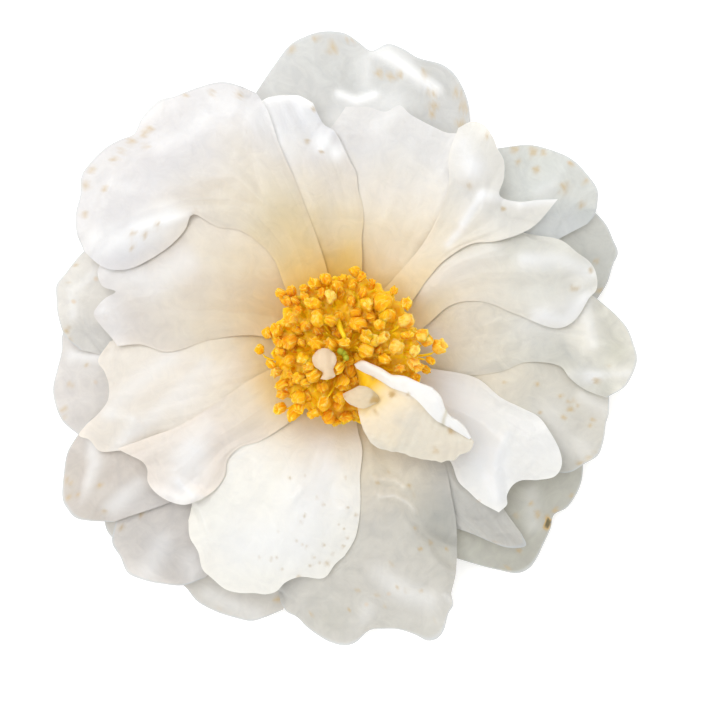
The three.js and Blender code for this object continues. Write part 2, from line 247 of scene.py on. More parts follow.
petalLook = {
    "roughness": 0.5, "roughnessLess": 0.06, "roughnessMore": 0.08, "sheen": 0.05, "specular": 0.35,
    "subsurface": 0.45, "scatter": (1.0, 0.9, 0.78), "scatterScale": 1.3 * mm,
    # the foot's amber, tan and cream are partly the petals' own yellow and partly painted shade and warm glow
    # from the stamens; its centre is set off up and to the left, where that painted shade is strongest
    "throatCentre": (-1.5 * mm, 2.5 * mm), "throatNear": 10 * mm, "throatFar": 33, "throatDrift": 12 * mm,
    "warmth": (0.98, 0.965, 0.925),
    "amber": (0.80, 0.52, 0.13, 1), "tan": (0.80, 0.60, 0.30, 1), "cream": (0.80, 0.69, 0.52, 1),
    "stain": (0.44, 0.28, 0.09, 1), "speck": (0.60, 0.38, 0.18, 1), "burnt": (0.05, 0.04, 0.02, 1),
    # crest is the colour of painted highlights and hollow the colour of painted shade
    "crest": (0.96, 0.955, 0.945, 1), "hollow": (0.72, 0.73, 0.70, 1), "cloudy": (0.97, 0.95, 0.955, 1),
    "thin": (0.90, 0.905, 0.91, 1), "edge": (0.46, 0.49, 0.51, 1),
    "veins": [(0.3, (0.985, 0.985, 0.988, 1)), (0.62, (1.005, 1.005, 1.0, 1))],
    "tissue": [(0.3, (0.90, 0.905, 0.92, 1)), (0.5, (0.99, 0.99, 0.99, 1)), (0.7, (1.08, 1.08, 1.07, 1))],
    "cloudScale": 90.0, "tissueScale": 260.0, "speckScale": 260.0, "crumpleScale": 420.0,
    "grainScale": 2400.0, "veinScale": (46, 5, 1), "speckShare": 0.06,
    "veinRelief": 0.5, "grainRelief": 0.12, "crumpleRelief": 4.6, "tissueRelief": 3.0,
    "bumpStrength": 0.3, "bumpDistance": 0.12 * mm,
}


def petalMaterial(name, tintAndShade, throatStainAndShade, stainAndShadeTo=petalLook["throatFar"], edge=0.0, mottle=0.6):
    # the first colour is the petal's white, darkened as painted shade on petals that lie lower or turn from
    # the light;
    # the next argument is how strongly its foot is stained, partly its own yellow and partly painted shade
    # and warm glow from the stamens, and the one after how far out that goes, in millimetres; edge is how
    # grey the rim's own edge is, mottle how cloudy its tissue
    look = petalLook
    material, tree, shader = newMaterial(
        name, look["roughness"], look["subsurface"], look["scatter"], look["scatterScale"],
        look["sheen"], look["specular"])
    coords = addNode(tree, "ShaderNodeTexCoord").outputs
    centreX, centreY = look["throatCentre"]
    fromAxis = mapped(tree, coords["Object"], (1, 1, 0), (-axisX - centreX, -axisY - centreY, 0))
    reach = addNode(tree, "ShaderNodeVectorMath", {0: fromAxis}, operation="LENGTH").outputs["Value"]
    cloud = noiseOn(tree, coords["Object"], look["cloudScale"], 3.0)
    drift = calculate(tree, "MULTIPLY_ADD", cloud, look["throatDrift"], -0.5 * look["throatDrift"])
    outward = remap(tree, calculate(tree, "ADD", reach, drift), look["throatNear"], stainAndShadeTo * mm)
    white = tuple(t * w for t, w in zip(tintAndShade, look["warmth"])) + (1,)
    stops = [(0, look["amber"]), (0.2, look["tan"]), (0.5, look["cream"]), (1, white)]
    faded = [(at, tuple(w + (c - w) * throatStainAndShade for c, w in zip(color, white))) for at, color in stops]
    base = ramp(tree, outward, faded)

    # fine veins that run from foot to rim, a little darker between them
    veins = noiseOn(tree, mapped(tree, coords["UV"], look["veinScale"]), 1.0, 4.0, 0.55, 0.6)
    base = mixColor(tree, veins, base, ramp(tree, veins, look["veins"]), "MULTIPLY")
    clouded = ramp(tree, cloud, [(0.35, (0, 0, 0, 1)), (0.7, (0.6, 0.6, 0.6, 1))])
    base = mixColor(tree, clouded, base, look["cloudy"], "MULTIPLY")
    # thin places let less light back than the tissue around them
    tissue = noiseOn(tree, coords["Object"], look["tissueScale"], 6.0, 0.62, 1.4)
    base = mixColor(tree, mottle, base, ramp(tree, tissue, look["tissue"]), "MULTIPLY")

    # painted highlights towards the crest colour and painted shade towards the hollow colour, painted on the
    # mesh
    paintedShading = painted(tree, "paintedShading")
    base = mixColor(tree, calculate(tree, "MAXIMUM", paintedShading, 0.0), base, look["crest"])
    paintedShadeShare = calculate(tree, "MULTIPLY", paintedShading, -1.0, clamp=True)
    base = mixColor(tree, paintedShadeShare, base, look["hollow"], "MULTIPLY")

    # a few small freckles towards the rim, and the larger stains, which are painted too
    cells = addNode(tree, "ShaderNodeTexVoronoi", {
        "Vector": coords["Object"], "Scale": look["speckScale"], "Randomness": 1.0})
    dot = remap(tree, cells.outputs["Distance"], 0.16, 0.05)
    chosen = addNode(tree, "ShaderNodeSeparateColor", {0: cells.outputs["Color"]}).outputs[0]
    rare = calculate(tree, "GREATER_THAN", chosen, 1 - look["speckShare"])
    toRim = partOf(tree, coords["UV"], "Y")
    rimShare = remap(tree, toRim, 0.55, 0.95, 0.5)
    freckle = calculate(tree, "MULTIPLY", calculate(tree, "MULTIPLY", dot, rare), rimShare)
    base = mixColor(tree, freckle, base, look["speck"])
    stain = painted(tree, "stain")
    base = mixColor(tree, stain, base, look["stain"])
    burnt = calculate(tree, "SUBTRACT", stain, 1.0, clamp=True)
    base = mixColor(tree, burnt, base, look["burnt"])
    base = mixColor(tree, remap(tree, toRim, 0.95, 0.99, 0.25), base, look["thin"], "MULTIPLY")
    base = mixColor(tree, remap(tree, toRim, 0.993, 0.999, 0.8 * edge), base, look["edge"])
    tree.links.new(base, shader.inputs["Base Color"])

    shine = remap(tree, cloud, 0.3, 0.7, look["roughness"] + look["roughnessMore"],
                  look["roughness"] - look["roughnessLess"])
    tree.links.new(shine, shader.inputs["Roughness"])
    grain = noiseOn(tree, coords["Object"], look["grainScale"])
    crumple = noiseOn(tree, coords["Object"], look["crumpleScale"], 5.0, 0.55, 0.8)
    crumpled = calculate(tree, "MULTIPLY", crumple, calculate(tree, "ADD", rimShare, 0.25))
    relief = calculate(tree, "MULTIPLY", veins, look["veinRelief"])
    for part, amount in ((grain, "grainRelief"), (crumpled, "crumpleRelief"), (tissue, "tissueRelief")):
        relief = calculate(tree, "MULTIPLY_ADD", part, look[amount], relief)
    addBump(tree, shader, relief, look["bumpStrength"], look["bumpDistance"])
    return material


def mottledMaterial(name, colors, noiseScale, roughness, bumpDistance, subsurface=0.0, sheen=0.0,
                    upper=None, margin=None):
    # a plain organic finish: a few colours in clouds, and a fine grain;
    # upper is a colour for its upper part, and the heights between which that comes in,
    # margin a colour for a blade's rim
    material, tree, shader = newMaterial(name, roughness, subsurface, sheen=sheen)
    coords = addNode(tree, "ShaderNodeTexCoord").outputs
    stops = [(0.3 + 0.4 * i / (len(colors) - 1), color + (1,)) for i, color in enumerate(colors)]
    base = ramp(tree, noiseOn(tree, coords["Object"], noiseScale, 4.0, 0.6), stops)
    if upper:
        color, low, high = upper
        raised = remap(tree, partOf(tree, coords["Object"], "Z"), low * mm, high * mm)
        base = mixColor(tree, raised, base, color + (1,))
    if margin:
        atRim = remap(tree, partOf(tree, coords["UV"], "Y"), 0.82, 0.98, 0.8)
        base = mixColor(tree, atRim, base, margin + (1,))
    tree.links.new(base, shader.inputs["Base Color"])
    addBump(tree, shader, noiseOn(tree, coords["Object"], noiseScale * 5, 3.0), 0.5, bumpDistance)
    return material


# Petals

sheet = {
    "along": 84, "across": 76, "evenTurns": 300,
    "clawRadius": 6.5, "clawHalfAngle": 20,
    "tierOneHeight": 5.5, "tierStep": 1.25,
    "tierOneRise": 9.25, "riseStep": 0.3, "riseLength": 12,
    "tierOneDroop": 9.75, "droopStep": 0.3, "droopReach": 43, "droopPower": 2.2,
    "reach": 43.5, "sideLift": -0.4,
    "restGap": 0.17, "restWidth": 13.0, "restAtRim": 0.5, "restLimit": 2.6, "cell": 0.8,
    "thickness": 0.24, "rimThickness": 0.4,
    "swell": 0.6, "ruffle": 0.6, "pleat": 0.09, "wrinkle": 0.035, "crinkle": 0.11,
    "swellSize": (13, 13), "ruffleSize": (0.16, 0.6), "pleatSize": (0.07, 0.55), "wrinkleSize": (0.028, 0.12),
    "crinkleSize": (2.4, 2.4), "pleatedFromWidth": 22,
    # the last of these is how strongly the crests of folds get a painted highlight
    "stainStrength": 0.66, "stainRagged": 0.8, "stainRaggedSize": (0.9, 0.9), "foldHighlight": 0.4,
    "seedStep": 3.7, "innerSeed": 80, "outerMottle": 1.0, "innerMottle": 0.6,
}

# In both tables the petals go clockwise from the top. Each has its tier and the angle of its claw. Its
# outline is its clockwise side, its counterclockwise side and its rim, as (degrees, millimetres) about the
# axis. Where it has them, folds are (lift, width, line), painted shading (a painted highlight or, below 0,
# painted shade, width, line), and stains (x, y, size, strength).
# each petal's white is darkened as painted shade where it lies lower or turns from the light
outerPetals = [
    {"tier": 1, "claw": 86, "tintAndShade": (0.498, 0.515, 0.529), "throatStainAndShade": 0.4,
     "cw": [(66, 20), (61, 33)], "ccw": [(107, 22), (112, 38)],
     "rim": [(62, 44), (65, 47.5), (69, 50.5), (72, 51.5), (77, 51.5), (80, 52.5), (83, 53), (86, 51.5),
             (88.5, 53), (91, 54.5), (95, 55), (98, 54.5), (101, 53.5), (105, 50.5), (110, 47)],
     "folds": [(-1.2, 3.0, [(1.2, 46.2)]), (0.7, 1.0, [(-1.6, 43.4), (1.2, 42.6), (4.2, 43.6)]),
               (0.9, 1.3, [(6, 51.9), (11.9, 46.8), (15.3, 44.5)]), (0.5, 1.2, [(3.2, 50), (2.6, 46)])],
     "paintedShadingStrokes": [(0.45, 0.7, [(-1.9, 44), (1.1, 42.7), (4.3, 43.7)]),
               (0.4, 3, [(-3, 38), (2, 40.5), (7, 41.5)]),
               (0.4, 0.9, [(4.2, 51), (6.8, 50.2), (9.6, 48.4), (12.5, 46.4), (14.8, 44.8)]),
               (-0.25, 1.6, [(13, 49.2), (17, 45.5)]), (-0.12, 3, [(-10, 45), (-5, 50)])],
     "stains": [(-3.1, 51.9, 1.59), (-5.8, 53.7, 1.01), (0.3, 53.6, 1.01), (-10.2, 52.0, 1.16),
                (5.1, 47.4, 1.16), (6.8, 46.9, 1.01), (8.5, 47, 0.87), (12.8, 47.3, 1.16),
                (14.2, 44, 1.16), (14.2, 41.8, 1.16), (14, 40.4, 0.87), (18.2, 44.2, 1.3),
                (19.4, 41.7, 1.45), (18.9, 38.6, 1.3)]},
    {"tier": 2, "claw": 42, "tintAndShade": (0.561, 0.592, 0.596), "throatStainAndShade": 0.4,
     "cw": [(30, 18), (27, 30), (28, 40)], "ccw": [(55, 20), (58, 34)],
     "rim": [(28, 46), (29, 48), (31, 49.5), (33, 50.5), (37, 50.5), (41, 50), (45, 48.5), (49, 46.5),
             (54, 42.5)],
     "folds": [(0.5, 1.6, [(36.4, 31.1), (34.7, 28), (33, 26.7)]), (-0.5, 4, [(32, 32)])],
     "paintedShadingStrokes": [(-0.4, 3, [(30, 33.5), (35, 32.5), (40, 28.5)]), (0.22, 3.5, [(29, 20), (37, 21)])],
     "stains": [(28.2, 34.4, 1.17), (31.3, 34.0, 1.43), (33, 33.7, 0.91), (28.6, 32.1, 0.78),
                (31.8, 30.6, 1.04), (38, 31.9, 0.78), (36.7, 27.7, 1.43), (40.3, 28.9, 0.78),
                (39.6, 24.8, 0.91)]},
    {"tier": 1, "claw": 22, "tip": 2.4, "tintAndShade": (0.425, 0.442, 0.435), "throatStainAndShade": 0.3,
     "cw": [(9, 20), (7, 32)], "ccw": [(35, 20), (39, 34)],
     "rim": [(10, 42), (14.5, 45.5), (18, 47.5), (20, 49), (23, 49), (26, 49), (30, 48), (35, 45)],
     "stains": [(42.2, 15.1, 0.6), (42.8, 10.2, 0.9)]},
    {"tier": 3, "claw": 5, "tintAndShade": (0.643, 0.638, 0.592), "throatStainAndShade": 0.5,
     "cw": [(-13, 19), (-8, 26), (-4, 30), (-4.5, 36), (-7, 37.5), (-9.5, 40.5)],
     "ccw": [(32, 20), (26, 32)],
     "rim": [(-10.5, 44.5), (-8, 47), (-6, 48), (-2, 49), (1, 48.5), (4.5, 47.5), (8, 45.5), (11, 43.5),
             (19, 39)],
     "folds": [(0.9, 1.6, [(40.6, 7.5), (41, 4.5), (41.8, 1)]), (-0.7, 2.4, [(44.5, 7), (45.5, 1)]),
               (0.6, 1.5, [(38, -4), (42, -4.6), (47, -4)]), (-0.5, 2.0, [(30, 1), (36, 0.5)])],
     "paintedShadingStrokes": [(-0.5, 2.5, [(45.5, -1), (44.5, -7)]), (-0.6, 3.2, [(44.5, 7), (46, 0)]),
               (-0.3, 2, [(26, -4), (36, -2.5)]), (0.4, 2.6, [(12.5, 3.5), (15, 1.5)]),
               (0.25, 3, [(30, 4), (36, 6)]), (0.5, 1.2, [(41, -4.5), (47, -3.8)])],
     "stains": [(42, -5.4, 0.9), (44, -2.5, 0.5)]},
    {"tier": 2, "claw": -13, "tintAndShade": (0.511, 0.503, 0.47), "throatStainAndShade": 0.6,
     "cw": [(-33, 20), (-34, 32)], "ccw": [(14, 18), (8, 32)],
     "rim": [(-31, 40.5), (-29, 43), (-26, 44.5), (-23, 46), (-19.5, 46), (-16, 45.5), (-14, 45.5),
             (-10.5, 45), (-4, 44)],
     "folds": [(0.5, 1.5, [(40, -8), (44, -10.5)]), (-0.5, 2.0, [(38.5, -14.5)]), (0.4, 1.8, [(40, -17)])],
     "paintedShadingStrokes": [(0.2, 3, [(34, -11), (36, -16)])],
     "stains": [(26.2, -5.6, 0.5), (31.8, -5.8, 0.6), (36, -7.8, 0.6), (37.2, -8.7, 0.6),
                (38.2, -8.7, 0.6), (37.6, -10, 0.8), (38.9, -9.5, 0.6), (36.5, -11.4, 0.7),
                (32.3, -10.7, 0.6), (41.5, -11.8, 0.6), (41.1, -12.8, 0.6), (40.9, -18.7, 0.8),
                (42, -17.5, 0.6), (39.3, -19.3, 0.8)]},
    {"tier": 1, "claw": -45, "tip": 2.6, "tintAndShade": (0.359, 0.368, 0.342), "throatStainAndShade": 0.3,
     "cw": [(-66, 18), (-67, 30)], "ccw": [(-22, 18), (-22, 34)],
     "rim": [(-63, 40), (-59, 43), (-56, 45.5), (-53, 48), (-50.5, 48.5), (-48, 48), (-45, 47),
             (-41.5, 46), (-39, 45), (-36, 46), (-32, 46), (-29, 45.5), (-26, 44.5)],
     "folds": [(-0.6, 2.0, [(33.5, -29)]), (0.4, 1.5, [(31, -24), (31.5, -30)])],
     "paintedShadingStrokes": [(-0.4, 2.5, [(28, -38), (33, -35)])],
     "stains": [(32.2, -28.2, 0.9), (33.7, -28.6, 0.9), (31, -26.2, 0.6), (28.4, -28.3, 0.7),
                (38.1, -25, 0.7), (35.1, -27.5, 0.8), (28.9, -34.5, 0.6), (27, -37.5, 0.8),
                (34.1, -29.6, 1.2, 2.2), (33.7, -30.3, 0.9, 1.9)]},
    {"tier": 2, "claw": -57, "tintAndShade": (0.533, 0.527, 0.505), "throatStainAndShade": 0.3,
     "cw": [(-69, 17), (-67, 28)], "ccw": [(-40, 16), (-42, 28), (-46, 38)],
     "rim": [(-62, 34), (-59, 35.5), (-56, 38), (-53, 41.5), (-51, 43.5), (-48, 45), (-47, 43)],
     "stains": [(24.8, -33.3, 0.8)]},
    {"tier": 3, "claw": -77, "tintAndShade": (0.484, 0.482, 0.465), "throatStainAndShade": 0.6,
     "cw": [(-116, 18), (-114, 34)],
     "ccw": [(-52, 16), (-50, 24.5), (-52, 27), (-55, 30), (-58, 34), (-62.5, 39.5), (-65, 42.5)],
     "rim": [(-105.5, 44.6), (-103.5, 46.1), (-101.2, 46.5), (-99, 47.8), (-96.5, 49), (-94, 50),
             (-91, 50.5), (-89, 50), (-86, 48), (-83, 48), (-80, 48.5), (-77, 50), (-75, 51.5),
             (-73, 51.5), (-71.5, 50.5), (-69.5, 48), (-68, 47), (-67.5, 45)],
     "folds": [(0.35, 0.6, [(4.4, -21.9), (7.7, -22.1), (9.2, -23.4)]),
               (0.4, 0.6, [(4.9, -24.8), (7.7, -24.8), (10, -26.1), (11, -27.4)]),
               (0.4, 1.8, [(5, -38), (10, -41.5), (14, -42.5)]), (0.5, 1.6, [(3, -44.5), (1, -49)]),
               (-0.7, 2.5, [(7, -47)]), (0.5, 0.7, [(16.4, -42), (17.8, -43.4)]),
               (-0.5, 3.5, [(14, -33)])],
     "paintedShadingStrokes": [(-0.35, 3, [(2, -17), (4, -21)]),
               (-0.3, 2.2, [(-4, -46.5), (2, -49.5), (8, -48), (14, -49)]),
               (-0.22, 5, [(4, -17), (8, -22), (14, -29)]), (-0.3, 4, [(16, -30), (17.5, -37)]),
               (-0.2, 4, [(-3, -45), (-6, -46)]), (0.15, 2, [(7, -40), (13, -43)]),
               (0.18, 0.35, [(4.4, -21.9), (7.7, -22.1), (9.2, -23.4)]),
               (0.18, 0.35, [(4.9, -24.8), (7.7, -24.8), (10, -26.1), (11, -27.4)])],
     "stains": [(4.7, -22.4, 0.51), (6.6, -20.7, 0.42), (10.1, -23.2, 0.51), (10.7, -24.7, 0.51),
                (11.1, -30.3, 0.51), (13.6, -32.8, 0.51), (11.9, -33.8, 0.42), (16.4, -34, 0.42),
                (7, -36.4, 0.51), (8.1, -40.3, 0.51), (9.5, -41, 0.51), (12.1, -41.1, 0.42),
                (4.8, -41.6, 0.59), (1.2, -41, 0.42), (-0.2, -44.4, 0.42), (5.8, -43.7, 0.42),
                (-6.6, -44.9, 0.51), (14.6, -46.4, 0.42), (3, -48.1, 0.51)]},
    {"tier": 1, "claw": -122, "tip": 1, "tintAndShade": (0.474, 0.464, 0.447), "throatStainAndShade": 0.3,
     "cw": [(-142, 20), (-148, 36)], "ccw": [(-100, 20), (-100, 34)],
     "rim": [(-146, 51), (-143.5, 52), (-141, 52), (-136, 51.5), (-130, 50), (-125, 49.5), (-121.5, 50.5),
             (-117, 50.5), (-113, 50), (-110, 49.5), (-107.5, 48), (-104.5, 46)],
     "folds": [(0.6, 1.6, [(-24, -42), (-16, -45.5)]), (-0.5, 1.6, [(-22, -40), (-14, -43)])],
     "stains": [(-12.3, -42.7, 0.9), (-22.5, -44.6, 0.5)]},
    {"tier": 2, "claw": -132, "tintAndShade": (0.576, 0.544, 0.528), "throatStainAndShade": 0.3,
     "cw": [(-146, 20), (-149, 34)], "ccw": [(-116, 20), (-118, 34)],
     "rim": [(-146, 47), (-143, 50.5), (-141, 52.5), (-138, 53), (-135, 54), (-132, 53), (-129, 51.5),
             (-125.5, 49.5), (-122.5, 46)],
     "folds": [(0.8, 2.2, [(-32, -33.3), (-34.5, -38)]), (0.6, 2.0, [(-27, -36), (-26, -40)]),
               (-0.6, 2.0, [(-29.5, -40.5)])],
     "stains": [(-35.7, -28.2, 0.8), (-39.2, -30.4, 0.8)]},
    {"tier": 3, "claw": -154, "tintAndShade": (0.482, 0.445, 0.426), "throatStainAndShade": 0.3,
     "cw": [(-175, 19), (-172, 34)], "ccw": [(-134, 18), (-138, 36)],
     "rim": [(-165, 46), (-162.5, 49), (-160, 51.5), (-156.5, 53.5), (-152.5, 55.5), (-150.5, 55.5),
             (-148.5, 55), (-146.5, 53), (-144, 50)],
     "folds": [(1.0, 1.4, [(-43.9, -16), (-43.6, -19.6), (-45.6, -24.3), (-47, -27.9)]),
               (0.7, 1.6, [(-36, -23), (-41, -27)]), (-0.7, 2.0, [(-41.5, -22.5)])],
     "paintedShadingStrokes": [(-0.4, 2, [(-47.3, -21), (-46.8, -28)]), (0.2, 3.5, [(-38, -26.5), (-31, -27.5)])],
     "stains": [(-48.7, -22.2, 0.8), (-47.6, -22.8, 0.6), (-42.9, -23.1, 0.8), (-47.9, -24.9, 0.9),
                (-46.8, -24.9, 0.6), (-41.9, -27.7, 0.7)]},
    {"tier": 1, "claw": 187, "tip": 1.2, "tintAndShade": (0.553, 0.534, 0.532), "throatStainAndShade": 0.3,
     "cw": [(171, 20), (170, 34)], "ccw": [(203, 20), (204, 34)],
     "rim": [(172, 47), (177, 49.5), (180, 49.5), (184, 50.5), (187.5, 51.5), (190.5, 51.5), (193.5, 51),
             (195.5, 50), (200, 47)],
     "folds": [(0.9, 1.2, [(-47.5, -0.9), (-42.8, -1.4)]), (-0.6, 1.8, [(-46, 1.2)])],
     "stains": [(-45, -2.5, 0.6), (-47.9, -6, 0.7), (-49, -10.2, 0.8), (-49.3, -11.6, 0.7)]},
    {"tier": 2, "claw": 168, "tintAndShade": (0.598, 0.583, 0.561), "throatStainAndShade": 0.3,
     "cw": [(153, 20), (151, 34)], "ccw": [(184, 20), (184, 34)],
     "rim": [(155, 46), (159.5, 48.5), (162, 49.5), (165, 50.5), (167.5, 51.5), (170.5, 51), (173, 50.5),
             (177, 49), (180, 46)],
     "folds": [(0.7, 0.9, [(-43.1, 13.8), (-44.9, 11.7), (-47.5, 10.1), (-47.3, 5.7)])],
     "stains": [(-48.9, 3.3, 1.1), (-48.2, 1.8, 0.9), (-46.9, 14.6, 0.6), (-48.3, 11.5, 0.5)]},
    {"tier": 1, "claw": 138, "tip": 2.4, "tintAndShade": (0.8, 0.8, 0.79), "throatStainAndShade": 0.3,
     "cw": [(122, 20), (117, 32)], "ccw": [(157, 20), (163, 34)],
     "rim": [(118, 42), (125, 46), (137, 47), (147, 48), (157, 46), (163, 42)]},
]

